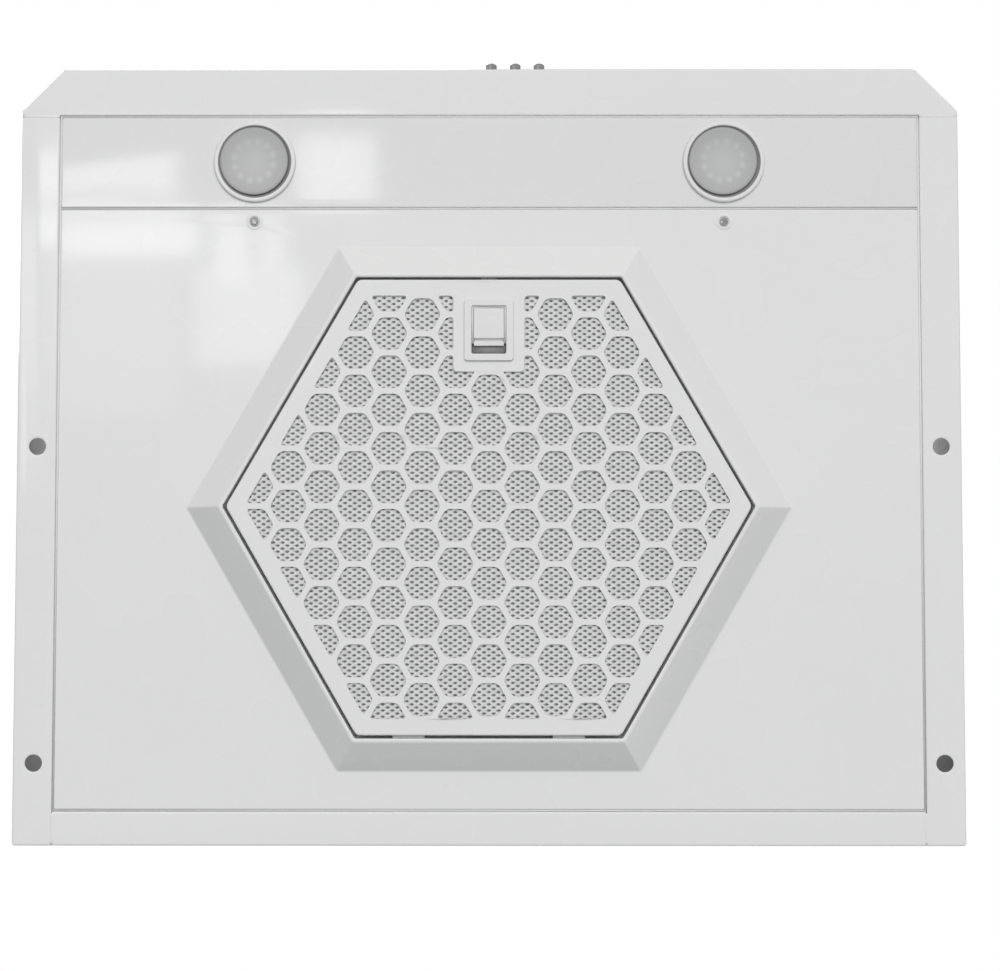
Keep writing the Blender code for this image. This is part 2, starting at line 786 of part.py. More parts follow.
def panel_screw_cutter(word, side):
    """A countersink for the screw's head and a clear hole for its shank."""
    shank = SCREW_SHANK + SLIP
    head = SCREW_HEAD + SLIP
    profile = [(0, SHEET * 3), (shank, SHEET * 3), (shank, PANEL_SHEET / 2)]
    profile += [(head, 0), (head, -SHEET), (0, -SHEET)]
    return turned("cut_screw_" + word, profile, screw_place(side), segments=20)


def pan_screw(name, place, axis="Z", facing=-1):
    """A pan head screw with a cross recess; facing is the side of its head along the axis."""
    head = SCREW_HEAD
    lift = SEAM
    crown = [
        (0, lift + SCREW_HEAD_DEPTH),
        (head * 0.55, lift + SCREW_HEAD_DEPTH),
        (head * 0.9, lift + SCREW_HEAD_DEPTH * 0.6),
        (head, lift),
        (SCREW_SHANK, lift),
        (SCREW_SHANK, lift - SCREW_LENGTH),
        (0, lift - SCREW_LENGTH),
    ]
    profile = [(r, z * facing) for r, z in crown]
    screw = turned(name, profile, place, bright_metal(name), axis, 12)
    recess_low = (lift + SCREW_HEAD_DEPTH * 0.35) * facing
    recess_high = (lift + SCREW_HEAD_DEPTH * 2) * facing
    low, high = sorted((recess_low, recess_high))
    arm, half = head * 0.55, head * 0.11
    cross = [(arm, half), (half, half), (half, arm), (-half, arm), (-half, half), (-arm, half)]
    cross += [(-u, -v) for u, v in cross]
    cutter = plate("cut_" + name, [cross], low, high)
    spin = Matrix.Rotation(RECESS_TURN, 4, "Z")
    cutter.matrix_world = Matrix.Translation(place) @ AXIS_TURN[axis] @ spin @ cutter.matrix_world
    return boolean(screw, cutter)


def panel_screws():
    for word, side in SIDES:
        x, y, z = screw_place(side)
        pan_screw("bottom_panel_screw_" + word, (x, y, z - PANEL_SHEET / 4))


# ---------------------------------------------------------------- filter cassette


def tongue_low():
    return PLATE_Z + TAB_RISE


def tongue_high():
    return tongue_low() + TONGUE_THICKNESS


def clipped(outline, point, normal):
    """The part of a convex outline that lies behind a line."""
    kept = []
    for (ax, ay), (bx, by) in zip(outline, outline[1:] + outline[:1]):
        a = (ax - point[0]) * normal[0] + (ay - point[1]) * normal[1]
        b = (bx - point[0]) * normal[0] + (by - point[1]) * normal[1]
        if a <= 0:
            kept.append((ax, ay))
        if a * b < 0:
            share = a / (a - b)
            kept.append((ax + (bx - ax) * share, ay + (by - ay) * share))
    return kept


def turns(outline, point):
    """For each side of an outline, twice the area of the triangle it makes with a point."""
    pairs = zip(outline, outline[1:] + outline[:1])
    return [
        (ax - point[0]) * (by - point[1]) - (bx - point[0]) * (ay - point[1])
        for (ax, ay), (bx, by) in pairs
    ]


def area_of(outline):
    return abs(sum(turns(outline, (0, 0)))) / 2


def inside_border(outline, flats):
    for i in range(6):
        angle = math.radians(30 + 60 * i)
        normal = (math.cos(angle), math.sin(angle))
        point = (normal[0] * flats / 2, HEX_Y + normal[1] * flats / 2)
        outline = clipped(outline, point, normal)
    return outline


def pad_depth(place):
    """How far a place is inside the solid pad round the latch, which runs to the front border."""
    across = BEZEL_WIDTH / 2 + PAD_MARGIN - abs(place[0])
    along = LATCH_Y + BEZEL_LENGTH / 2 + PAD_MARGIN - place[1]
    return min(across, along)


def pad_crossing(start, end):
    """Where the line between two places, one of them inside the pad, meets the pad's edge."""
    low, high = 0.0, 1.0
    for _ in range(40):
        share = (low + high) / 2
        place = [a + (b - a) * share for a, b in zip(start, end)]
        if (pad_depth(place) > 0) == (pad_depth(start) > 0):
            low = share
        else:
            high = share
    return tuple(place)


def around_latch(outline):
    """The part of a hole outside the pad. A hole that takes in a corner of the pad becomes an L."""
    inside = [pad_depth(place) > 0 for place in outline]
    half = BEZEL_WIDTH / 2 + PAD_MARGIN
    rear = LATCH_Y + BEZEL_LENGTH / 2 + PAD_MARGIN
    corners = [(side * half, rear) for side in (-1, 1)]
    taken = [corner for corner in corners if min(turns(outline, corner), default=-1) > 0]
    kept = []
    for i, place in enumerate(outline):
        following = (i + 1) % len(outline)
        if not inside[i]:
            kept.append(place)
        if inside[i] != inside[following]:
            kept.append(pad_crossing(place, outline[following]))
        if inside[following] and not inside[i]:
            kept.extend(taken)
    return kept


def honeycomb(flats):
    """Hexagonal holes on a staggered grid, trimmed to a hexagonal border and around the latch."""
    holes = []
    column_step = HOLE_PITCH * COS30
    reach = math.ceil(flats / column_step / 2) + 1
    smallest = HOLE_FLATS**2 * SMALLEST_HOLE
    for column in range(-reach, reach + 1):
        for row in range(-reach, reach + 1):
            y = HEX_Y + row * HOLE_PITCH + (column % 2) * HOLE_PITCH / 2
            outline = around_latch(inside_border(hexagon(HOLE_FLATS, column * column_step, y), flats))
            if len(outline) > 2 and area_of(outline) > smallest:
                holes.append(outline)
    return holes


def on_hexagon(co, flats):
    """Whether a place is on the outline of the hexagon of this size."""
    reach = 0
    for i in range(6):
        angle = math.radians(30 + 60 * i)
        reach = max(reach, co.x * math.cos(angle) + (co.y - HEX_Y) * math.sin(angle))
    return near(reach, flats / 2)


def wall_window(bm, y, left, right, low, high):
    """Opens a window in the tray wall at this y and returns the window's lower edges."""
    cuts = [((left, 0, 0), (1, 0, 0)), ((right, 0, 0), (1, 0, 0))]
    cuts += [((0, 0, low), (0, 0, 1)), ((0, 0, high), (0, 0, 1))]
    for point, normal in cuts:
        wall = [face for face in bm.faces if all(near(vert.co.y, y) for vert in face.verts)]
        edges = {edge for face in wall for edge in face.edges}
        verts = {vert for face in wall for vert in face.verts}
        bmesh.ops.bisect_plane(
            bm, geom=[*verts, *edges, *wall], plane_co=point, plane_no=normal, dist=0.000001
        )

    def in_window(centre, _):
        return near(centre.y, y) and left < centre.x < right and low < centre.z < high

    drop_faces(bm, in_window)
    return edges_where(
        bm,
        lambda co: near(co.y, y) and near(co.z, low) and left - SEAM < co.x < right + SEAM,
    )


def filter_face_plate():
    """The perforated face with its walls turned up, and two tabs bent out of the rear wall."""
    name = "filter_face_plate"
    outlines = [hexagon(FILTER_FLATS), *honeycomb(FILTER_FLATS - 2 * BORDER)]
    outlines.append(rectangle(0, LATCH_Y, *latch_box_size(SEAM)))
    bm = outline_surface(outlines, PLATE_Z)
    rim = edges_where(bm, lambda co: on_hexagon(co, FILTER_FLATS))
    fold(bm, rim, (0, 0, FILTER_HEIGHT))
    half = TONGUE_WIDTH / 2 + SLIP
    wall_window(bm, FILTER_FRONT, -half, half, tongue_low() - SLIP, tongue_high() + SLIP)
    low = PLATE_Z + TAB_RISE
    for _, side in SIDES:
        left = side * TAB_SPACING / 2 - TAB_WIDTH / 2
        foot = wall_window(bm, FILTER_REAR, left, left + TAB_WIDTH, low, low + TAB_REACH)
        fold(bm, foot, (0, TAB_REACH, 0))
    round_folds(bm, Vector((0, 0, -1)), PANEL_BEND)
    return sheet_object(name, bm, FILTER_SHEET)


def latch_box_size(clearance):
    return (
        LATCH_OPENING_WIDTH + 2 * (LATCH_WALL + clearance),
        LATCH_OPENING_LENGTH + 2 * (LATCH_WALL + clearance),
    )


def filter_mesh_pack():
    """The stack of expanded aluminium sheets as one plain slab, notched for the latch."""
    name = "filter_mesh_pack"
    outline = hexagon(FILTER_FLATS - 2 * (FILTER_SHEET + SLIP))
    low = PLATE_Z + FILTER_SHEET + SEAM
    high = BACK_FRAME_Z - BACK_FRAME_SHEET - SEAM
    pack = plate(name, [outline], low, high, galvanised(name))
    width, length = latch_box_size(SLIP)
    rear = LATCH_Y + length / 2
    front = FILTER_FRONT - SHEET
    cutter = box(
        "cut_pack_notch", (-width / 2, front, low - SHEET), (width / 2, rear, high + SHEET)
    )
    return boolean(pack, cutter)


def filter_back_frame():
    """A hexagonal frame with one cross strip that holds the mesh in the tray."""
    name = "filter_back_frame"
    outer = FILTER_FLATS - 2 * (FILTER_SHEET + SEAM)
    low, high = BACK_FRAME_Z - BACK_FRAME_SHEET, BACK_FRAME_Z
    frame = plate(
        name, [hexagon(outer), hexagon(outer - 2 * BACK_FRAME_WIDTH)], low, high, galvanised(name)
    )
    half = BACK_FRAME_WIDTH / 2
    reach = outer / 2 / COS30 - BACK_FRAME_WIDTH / 2
    strip = box("cross_strip", (-reach, HEX_Y - half, low), (reach, HEX_Y + half, high))
    return boolean(frame, strip, "UNION")


# ---------------------------------------------------------------- latch


def latch_top():
    return BACK_FRAME_Z - BACK_FRAME_SHEET - SEAM


def latch_bezel():
    """A moulded frame proud of the filter's face, with a closed box behind it for the slider."""
    name = "latch_bezel"
    low = PLATE_Z - SEAM - BEZEL_PROUD
    flange = box(
        name,
        (-BEZEL_WIDTH / 2, LATCH_Y - BEZEL_LENGTH / 2, low),
        (BEZEL_WIDTH / 2, LATCH_Y + BEZEL_LENGTH / 2, PLATE_Z - SEAM),
        moulded(name, (0.80, 0.80, 0.79)),
    )
    width, length = latch_box_size(0)
    case = box(
        "latch_case",
        (-width / 2, LATCH_Y - length / 2, low + BEZEL_PROUD / 2),
        (width / 2, LATCH_Y + length / 2, latch_top()),
    )
    boolean(flange, case, "UNION")
    cavity = box(
        "cut_latch_cavity",
        (-LATCH_OPENING_WIDTH / 2, LATCH_Y - LATCH_OPENING_LENGTH / 2, low - SHEET),
        (LATCH_OPENING_WIDTH / 2, LATCH_Y + LATCH_OPENING_LENGTH / 2, latch_top() - SHEET),
    )
    boolean(flange, cavity)
    way = box(
        "cut_latch_way",
        (-TONGUE_WIDTH / 2 - SLIP, LATCH_Y - length / 2 - SHEET, tongue_low() - SLIP),
        (TONGUE_WIDTH / 2 + SLIP, LATCH_Y - length / 2 + 2 * LATCH_WALL, tongue_high() + SLIP),
    )
    return boolean(flange, way)


def slider_front():
    return LATCH_Y - LATCH_OPENING_LENGTH / 2 + PADDLE_FRONT_GAP


def latch_slider():
    """The finger paddle with its step, and the tongue that holds the filter in the collar."""
    name = "latch_slider"
    front = slider_front()
    face = PLATE_Z - BEZEL_PROUD
    step_face = face + PADDLE_THICKNESS * 0.4
    back = face + PADDLE_THICKNESS
    block_top = tongue_high() + SEAM
    block_rear = front + PADDLE_LENGTH * 0.55
    rear = front + PADDLE_LENGTH
    tip = FILTER_FRONT - FILTER_GAP - PANEL_SHEET - TONGUE_REACH
    profile = [
        (front, face),
        (rear, face),
        (rear + 0.0004, step_face),
        (rear + PADDLE_STEP, step_face),
        (rear + PADDLE_STEP, back),
        (block_rear, back),
        (block_rear, block_top),
        (front, block_top),
    ]
    half = PADDLE_WIDTH / 2
    slider = plate(name, [profile], -half, half, moulded(name, (0.79, 0.79, 0.78)), "X")
    tongue = box(
        "tongue",
        (-TONGUE_WIDTH / 2, tip, tongue_low()),
        (TONGUE_WIDTH / 2, front + SHEET, tongue_high()),
    )
    return boolean(slider, tongue, "UNION")


def latch_spring():
    """A compression spring between the slider's block and the rear wall of its case."""
    name = "latch_spring"
    start = slider_front() + PADDLE_LENGTH * 0.55 + SEAM + LATCH_SPRING_WIRE
    end = LATCH_Y + LATCH_OPENING_LENGTH / 2 - SEAM - LATCH_SPRING_WIRE
    z = PLATE_Z - BEZEL_PROUD + PADDLE_THICKNESS + SLIP + LATCH_SPRING_RADIUS + LATCH_SPRING_WIRE
    count = LATCH_SPRING_TURNS * SPRING_STEPS
    points = []
    for i in range(count + 1):
        turn = 2 * math.pi * i / SPRING_STEPS
        x = LATCH_SPRING_RADIUS * math.cos(turn)
        y = start + (end - start) * i / count
        points.append(Vector((x, y, z + LATCH_SPRING_RADIUS * math.sin(turn))))
    return tube(name, points, LATCH_SPRING_WIRE, bright_metal(name))


# ---------------------------------------------------------------- lamps


def lamp(word, side):
    centre = (side * LAMP_SPACING / 2, LAMP_Y, BASE)
    lamp_bezel("lamp_bezel_" + word, centre)
    lamp_lens("lamp_lens_" + word, centre)
    led_board("led_board_" + word, centre)
    lamp_housing("lamp_housing_" + word, centre)


def lamp_bezel(name, centre):
    top = -SEAM
    face = top - LAMP_PROUD
    inner = LAMP_LENS_RADIUS + SEAM
    chamfer = LAMP_PROUD * 0.4
    profile = [
        (LAMP_RADIUS, top),
        (LAMP_RADIUS, face + chamfer),
        (LAMP_RADIUS - chamfer, face),
        (inner + chamfer, face),
        (inner, face + chamfer),
        (inner, LAMP_BARREL),
        (LAMP_BARREL_RADIUS, LAMP_BARREL),
        (LAMP_BARREL_RADIUS, top),
    ]
    return turned(name, profile, centre, bright_metal(name))


def lamp_lens(name, centre):
    face = -SEAM - LAMP_PROUD * 0.55
    edge = LAMP_LENS_RADIUS
    profile = [(0, 0.0008), (edge, 0.0008), (edge, face + 0.0002), (edge * 0.92, face), (0, face)]
    material = finish("frosted_" + name, (0.74, 0.74, 0.73), 0.5)
    return turned(name, profile, centre, material)


def led_board(name, centre):
    """A round board with a ring of emitters on its lower side."""
    low, high = 0.0040, 0.0052
    board = cylinder(name, LAMP_LENS_RADIUS - SLIP, low, high, centre, moulded(name, (0.85, 0.85, 0.83)))
    bm = bmesh.new()
    for i in range(LED_COUNT):
        turn = Matrix.Rotation(2 * math.pi * i / LED_COUNT, 4, "Z")
        place = Matrix.Translation((LED_RING_RADIUS, 0, low - LED_SIZE * 0.05))
        size = Matrix.Diagonal((LED_SIZE, LED_SIZE, LED_SIZE * 0.3, 1))
        bmesh.ops.create_cube(bm, size=1.0, matrix=turn @ place @ size)
    emitters = add_object("emitters_" + name, mesh_from("emitters_" + name, bm))
    emitters.location = centre
    return boolean(board, emitters, "UNION")


def lamp_housing(name, centre):
    low = LAMP_BARREL + SEAM
    high = low + LAMP_HOUSING
    outer = LAMP_BARREL_RADIUS
    inner = outer - LAMP_WALL
    profile = [
        (0, high),
        (outer * 0.8, high),
        (outer, high - outer * 0.2),
        (outer, low),
        (inner, low),
        (inner, high - outer * 0.2 - LAMP_WALL / 2),
        (outer * 0.8 - LAMP_WALL / 2, high - LAMP_WALL),
        (0, high - LAMP_WALL),
    ]
    return turned(name, profile, centre, moulded(name, (0.82, 0.82, 0.80)))


# ---------------------------------------------------------------- buttons


def button(number):
    """A push button with a domed cap, a collar inside the fascia and a stem into its switch."""
    name = f"button_{number}"
    x = FIRST_BUTTON_X + (number - 1) * BUTTON_PITCH
    proud, radius, stem = BUTTON_PROUD, BUTTON_RADIUS, BUTTON_STEM_RADIUS
    collar_front = -SHEET - SEAM
    profile = [
        (0, proud),
        (radius * 0.55, proud - 0.0001),
        (radius * 0.88, proud - 0.0006),
        (radius, proud - 0.0016),
        (radius, collar_front),
        (radius + 0.0012, collar_front),
        (radius + 0.0012, collar_front - 0.0010),
        (stem, collar_front - 0.0010),
        (stem, collar_front - STEM_LENGTH),
        (0, collar_front - STEM_LENGTH),
    ]
    cap = turned(name, profile, (x, FRONT, BUTTON_Z), bright_metal(name), "Y", 20)
    carry(axis_at(name + "_axis", (x, FRONT, BUTTON_Z)), cap)
    return cap


def cut_button_holes(shell):
    for number in range(BUTTON_COUNT):
        x = FIRST_BUTTON_X + number * BUTTON_PITCH
        centre = (x, FRONT, BUTTON_Z)
        radius = BUTTON_RADIUS + SEAM
        boolean(shell, cylinder(f"cut_button_{number}", radius, -0.004, 0.004, centre, None, "Y", 20))


def switch_bank():
    """One block with a blind bore for each button's stem."""
    name = "switch_bank"
    bank = box(
        name,
        (FIRST_BUTTON_X - SWITCH_MARGIN, SWITCH_Y, BUTTON_Z - SWITCH_HEIGHT / 2),
        (LAST_BUTTON_X + SWITCH_MARGIN, SWITCH_Y + SWITCH_DEPTH, BUTTON_Z + SWITCH_HEIGHT / 2),
        moulded(name, (0.10, 0.10, 0.11)),
    )
    for number in range(BUTTON_COUNT):
        centre = (FIRST_BUTTON_X + number * BUTTON_PITCH, SWITCH_Y, BUTTON_Z)
        radius = BUTTON_STEM_RADIUS + SEAM
        boolean(bank, cylinder(f"cut_stem_{number}", radius, -STEM_BORE, 0.004, centre, None, "Y", 16))
    return bank


def switch_bracket():
    """An angle bracket that stands on the front flange behind the switch bank."""
    name = "switch_bracket"
    rear = SWITCH_Y + SWITCH_DEPTH + SEAM
    foot = BASE + SHEET + SEAM
    front = FRONT + SHEET + BEND
    sheet = BRACKET_SHEET
    profile = [
        (front, foot),
        (rear + sheet, foot),
        (rear + sheet, BUTTON_Z + SWITCH_HEIGHT / 2),
        (rear, BUTTON_Z + SWITCH_HEIGHT / 2),
        (rear, foot + sheet),
        (front, foot + sheet),
    ]
    low, high = FIRST_BUTTON_X - 0.006, LAST_BUTTON_X + 0.006
    return plate(name, [profile], low, high, galvanised(name), "X")


# ---------------------------------------------------------------- blower


def scroll_outline(margin=0.0):
    """The volute: a growing spiral that runs out into a straight channel under the duct."""
    points = []
    for turn in range(TONGUE_ANGLE, 361, SCROLL_STEP):
        share = (turn - TONGUE_ANGLE) / (360 - TONGUE_ANGLE)
        radius = SCROLL_START + SCROLL_GROWTH * share + margin
        angle = math.radians(turn)
        points.append((WHEEL_X + radius * math.cos(angle), WHEEL_Y + radius * math.sin(angle)))
    outlet = DUCT_RADIUS + OUTLET_MARGIN + margin
    end = DUCT_Y + outlet
    throat = WHEEL_Y + (SCROLL_START + margin) * math.sin(math.radians(TONGUE_ANGLE))
    points += [(outlet, WHEEL_Y + 0.03), (outlet, end), (-outlet, end), (-outlet, throat + 0.034)]
    return points


def blower_housing():
    """The scroll and its roof, open below, with a round outlet under the duct collar."""
    name = "blower_housing"
    case = plate(name, [scroll_outline()], SCROLL_FLOOR, -SCROLL_TOP, galvanised(name))
    hollow = scroll_outline(-SCROLL_SHEET)
    boolean(case, plate("cut_scroll", [hollow], SCROLL_FLOOR - SHEET, -SCROLL_TOP - SCROLL_SHEET))
    outlet = circle(0, DUCT_Y, DUCT_BORE - SHEET)
    boolean(case, plate("cut_scroll_outlet", [outlet], -SCROLL_TOP - 3 * SHEET, -SCROLL_TOP + SHEET))
    for i, (x, y) in enumerate(blower_screws()):
        post = cylinder(f"post_{i}", POST_RADIUS, -SCROLL_TOP - SHEET / 2, -SHEET - SEAM, (x, y, 0), segments=16)
        boolean(case, post, "UNION")
        boolean(case, countersink(f"cut_post_{i}", x, y))
    return case


def blower_screws():
    """Where the blower hangs from the top panel."""
    ahead = WHEEL_Y - 0.56 * WHEEL_RADIUS
    behind = WHEEL_Y + 0.64 * WHEEL_RADIUS
    return [
        (WHEEL_X - 0.88 * WHEEL_RADIUS, ahead),
        (WHEEL_X + 1.20 * WHEEL_RADIUS, ahead),
        (WHEEL_X - 0.88 * WHEEL_RADIUS, behind),
        (WHEEL_X + 1.36 * WHEEL_RADIUS, behind),
    ]


def blower_inlet_plate():
    """The scroll's floor, with a rolled bellmouth round the inlet."""
    name = "blower_inlet_plate"
    low, high = SCROLL_FLOOR - SEAM - SCROLL_SHEET, SCROLL_FLOOR - SEAM
    outlines = [scroll_outline(0.004), circle(WHEEL_X, WHEEL_Y, INLET_RADIUS + BELL_RADIUS)]
    floor = plate(name, outlines, low, high, galvanised(name))
    profile = [
        (INLET_RADIUS + BELL_RADIUS + SHEET, low),
        (INLET_RADIUS + BELL_RADIUS * 0.4, low + BELL_RADIUS * 0.4),
        (INLET_RADIUS, low + 2 * BELL_RADIUS),
        (INLET_RADIUS + SHEET, low + 2 * BELL_RADIUS),
        (INLET_RADIUS + BELL_RADIUS * 0.4 + SHEET, high + BELL_RADIUS * 0.4),
        (INLET_RADIUS + BELL_RADIUS + SHEET, high),
    ]
    return boolean(floor, turned("bellmouth", profile, (WHEEL_X, WHEEL_Y, 0)), "UNION")


def impeller():
    """A squirrel cage wheel with a dished back plate that reaches over the motor."""
    name = "impeller"
    centre = (WHEEL_X, WHEEL_Y, 0)
    outer, wall = WHEEL_RADIUS, 0.0012
    dish = MOTOR_RADIUS + 0.005
    hub_floor = WHEEL_FLOOR + HUB_RISE
    bore = SHAFT_RADIUS + BORE_CLEARANCE
    profile = [
        (outer, WHEEL_TOP),
        (outer, WHEEL_TOP - wall),
        (dish + wall, WHEEL_TOP - wall),
        (dish - 0.002 + wall, hub_floor),
        (bore, hub_floor),
        (bore, hub_floor + wall),
        (dish - 0.002, hub_floor + wall),
        (dish, WHEEL_TOP),
    ]
    wheel = turned(name, profile, centre, moulded(name, (0.16, 0.16, 0.17)))
    bm = bmesh.new()
    length = WHEEL_HEIGHT - wall
    for i in range(BLADE_COUNT):
        turn = Matrix.Rotation(2 * math.pi * i / BLADE_COUNT, 4, "Z")
        reach = outer - BLADE_CHORD / 2 * math.cos(BLADE_PITCH) - 0.0006
        place = Matrix.Translation((reach, 0, WHEEL_TOP - wall / 2 - length / 2))
        pitch = Matrix.Rotation(BLADE_PITCH, 4, "Z")
        size = Matrix.Diagonal((BLADE_CHORD, BLADE_THICKNESS, length, 1))
        bmesh.ops.create_cube(bm, size=1.0, matrix=turn @ place @ pitch @ size)
    blades = add_object("blades", mesh_from("blades", bm))
    blades.location = centre
    boolean(wheel, blades, "UNION")
    ring = [
        (outer + 0.0008, WHEEL_FLOOR + 0.003),
        (outer + 0.0008, WHEEL_FLOOR),
        (outer - 0.0030, WHEEL_FLOOR),
        (outer - 0.0030, WHEEL_FLOOR + 0.003),
    ]
    boolean(wheel, turned("shroud_ring", ring, centre), "UNION")
    return wheel


def motor():
    """A round motor hung from the scroll's roof inside the wheel's dish."""
    name = "motor"
    high = -SCROLL_TOP - SCROLL_SHEET - SEAM
    low = high - MOTOR_HEIGHT
    profile = [
        (0, high),
        (MOTOR_RADIUS + 0.003, high),
        (MOTOR_RADIUS + 0.003, high - 0.002),
        (MOTOR_RADIUS, high - 0.002),
        (MOTOR_RADIUS, low + MOTOR_CHAMFER),
        (MOTOR_RADIUS - MOTOR_CHAMFER, low),
        (0, low),
    ]
    return turned(name, profile, (WHEEL_X, WHEEL_Y, 0), galvanised(name))


def motor_shaft():
    name = "motor_shaft"
    high = -SCROLL_TOP - SCROLL_SHEET - SEAM - MOTOR_HEIGHT - SEAM
    low = WHEEL_FLOOR - 0.004
    return cylinder(name, SHAFT_RADIUS, low, high, (WHEEL_X, WHEEL_Y, 0), bright_metal(name), segments=16)


def impeller_nut():
    """A nut on the shaft's end, under the wheel's hub."""
    name = "impeller_nut"
    high = WHEEL_FLOOR + HUB_RISE - SEAM
    outlines = [
        hexagon(NUT_FLATS, WHEEL_X, WHEEL_Y),
        circle(WHEEL_X, WHEEL_Y, SHAFT_RADIUS + SEAM, 16),
    ]
    return plate(name, outlines, high - NUT_HEIGHT, high, bright_metal(name))


def flat_head(clearance):
    """The cone of a countersunk screw that stays below the top panel's face, as (radius, height)."""
    head, shank = SCREW_HEAD + clearance, SCREW_SHANK + clearance
    rim = -FLUSH_DEPTH - SCREW_RIM
    return [(head, rim), (shank, rim - head + shank)]


def countersink(name, x, y):
    """The way of one blower screw, through the top panel and down through its post."""
    cone = flat_head(SEAM)
    foot = -SCROLL_TOP - 4 * SCROLL_SHEET
    profile = [(0, SHEET), (cone[0][0], SHEET), *cone, (cone[1][0], foot), (0, foot)]
    return turned(name, profile, (x, y, 0), segments=16)


def blower_mount_screws():
    """Countersunk screws down through the top panel into the blower's posts."""
    for i, (x, y) in enumerate(blower_screws(), 1):
        name = f"blower_screw_{i}"
        top = -FLUSH_DEPTH
        profile = [(0, top), (SCREW_HEAD, top), *flat_head(0)]
        profile += [(SCREW_SHANK, -SCREW_LENGTH), (0, -SCREW_LENGTH)]
        screw = turned(name, profile, (x, y, 0), bright_metal(name), segments=16)
        slot = box(
            "cut_" + name,
            (x - SCREW_HEAD * 0.6, y - SCREW_RIM, top - SCREW_SLOT_DEPTH),
            (x + SCREW_HEAD * 0.6, y + SCREW_RIM, SHEET),
        )
        boolean(screw, slot)


# ---------------------------------------------------------------- duct


def duct_collar():
    """The round spigot on the top, with a flange under the top panel and holes for the damper pin."""
    name = "duct_collar"
    foot = -SCROLL_TOP + SEAM
    flange_top = -SHEET - SEAM
    crimp = 0.0008
    profile = [
        (DUCT_RADIUS - crimp, DUCT_RISE),
        (DUCT_RADIUS, DUCT_RISE - 0.014),
        (DUCT_RADIUS, flange_top),
        (DUCT_RADIUS + DUCT_FLANGE, flange_top),
        (DUCT_RADIUS + DUCT_FLANGE, flange_top - SHEET),
        (DUCT_RADIUS, flange_top - SHEET),
        (DUCT_RADIUS, foot),
        (DUCT_BORE, foot),
        (DUCT_BORE, DUCT_RISE - 0.014),
        (DUCT_BORE - crimp, DUCT_RISE),
    ]
    collar = turned(name, profile, (0, DUCT_Y, 0), galvanised(name), segments=32)
    centre = (0, DUCT_Y, DAMPER_RISE)
    reach = DUCT_RADIUS + 0.01
    pin_hole = cylinder("cut_pin", DAMPER_PIN_RADIUS + SEAM, -reach, reach, centre, None, "X", 12)
    return boolean(collar, pin_hole)


def damper_pin():
    name = "damper_pin"
    reach = DUCT_RADIUS + 0.0015
    centre = (0, DUCT_Y, DAMPER_RISE)
    return cylinder(name, DAMPER_PIN_RADIUS, -reach, reach, centre, bright_metal(name), "X", 12)


def half_disc(radius, start, facing):
    """A half disc that keeps clear of the hinge line by its start."""
    half = math.asin(start / radius)
    points = []
    for i in range(17):
        turn = half + (math.pi - 2 * half) * i / 16
        points.append((radius * math.cos(turn), DUCT_Y + facing * radius * math.sin(turn)))
    return points


def damper_flap(name, facing, first_knuckle):
    """One backdraught flap: half a disc on two knuckles round the shared pin."""
    radius = DUCT_BORE - DAMPER_GAP - 0.0008
    low, high = DAMPER_RISE - DAMPER_SHEET / 2, DAMPER_RISE + DAMPER_SHEET / 2
    start = KNUCKLE_RADIUS + 0.0006
    flap = plate(name, [half_disc(radius, start, facing)], low, high, galvanised(name))
    pitch = KNUCKLE_LENGTH + KNUCKLE_GAP
    for i in (first_knuckle, first_knuckle + 2):
        left = (i - 2) * pitch + KNUCKLE_GAP / 2
        right = left + KNUCKLE_LENGTH
        ends = sorted((DUCT_Y + facing * 0.0024, DUCT_Y + facing * (start + SHEET)))
        web = box(f"web_{name}_{i}", (left, ends[0], low), (right, ends[1], high))
        boolean(flap, web, "UNION")
        bore = DAMPER_PIN_RADIUS + SEAM
        ring = [(KNUCKLE_RADIUS, right), (KNUCKLE_RADIUS, left), (bore, left), (bore, right)]
        centre = (0, DUCT_Y, DAMPER_RISE)
        boolean(flap, turned(f"knuckle_{name}_{i}", ring, centre, None, "X", 16), "UNION")
    return flap


# ---------------------------------------------------------------- electrical and covers


def rear_outlet_cover():
    """The plate that closes the rear outlet while the hood vents upwards."""
    name = "rear_outlet_cover"
    outline = rectangle(0, BASE / 2, OUTLET_WIDTH + 2 * OUTLET_LAP, OUTLET_HEIGHT + 2 * OUTLET_LAP)
    high = REAR - SHEET - SEAM
    cover = plate(name, [outline], high - SHEET, high, galvanised(name), "Y")
    for i, (x, z) in enumerate(outlet_screws()):
        centre = (x, high, z)
        shank = SCREW_SHANK + SEAM
        boolean(cover, cylinder(f"cut_cover_{i}", shank, -0.01, 0.01, centre, None, "Y", 12))
    return cover


def outlet_cover_screws():
    for (word, _), (x, z) in zip(SIDES, outlet_screws()):
        pan_screw("outlet_screw_" + word, (x, REAR, z), "Y", -1)


def junction_box():
    """A folded box under the cable hole, open below."""
    name = "junction_box"
    low, high = -SHEET - SEAM - BOX_HEIGHT, -SHEET - SEAM
    outer = rectangle(BOX_X, BOX_Y, BOX_WIDTH, BOX_DEPTH)
    inner = rectangle(BOX_X, BOX_Y, BOX_WIDTH - 2 * BOX_SHEET, BOX_DEPTH - 2 * BOX_SHEET)
    body = plate(name, [outer], low, high, galvanised(name))
    boolean(body, plate("cut_junction", [inner], low - SHEET, high - BOX_SHEET))
    hole = circle(BOX_X, BOX_Y, GROMMET_RADIUS, 24)
    return boolean(body, plate("cut_junction_cable", [hole], high - 3 * SHEET, high + SHEET))


def junction_box_cover():
    name = "junction_box_cover"
    high = -SHEET - 2 * SEAM - BOX_HEIGHT
    outline = rectangle(BOX_X, BOX_Y, BOX_WIDTH, BOX_DEPTH)
    return plate(name, [outline], high - BOX_SHEET, high, galvanised(name))


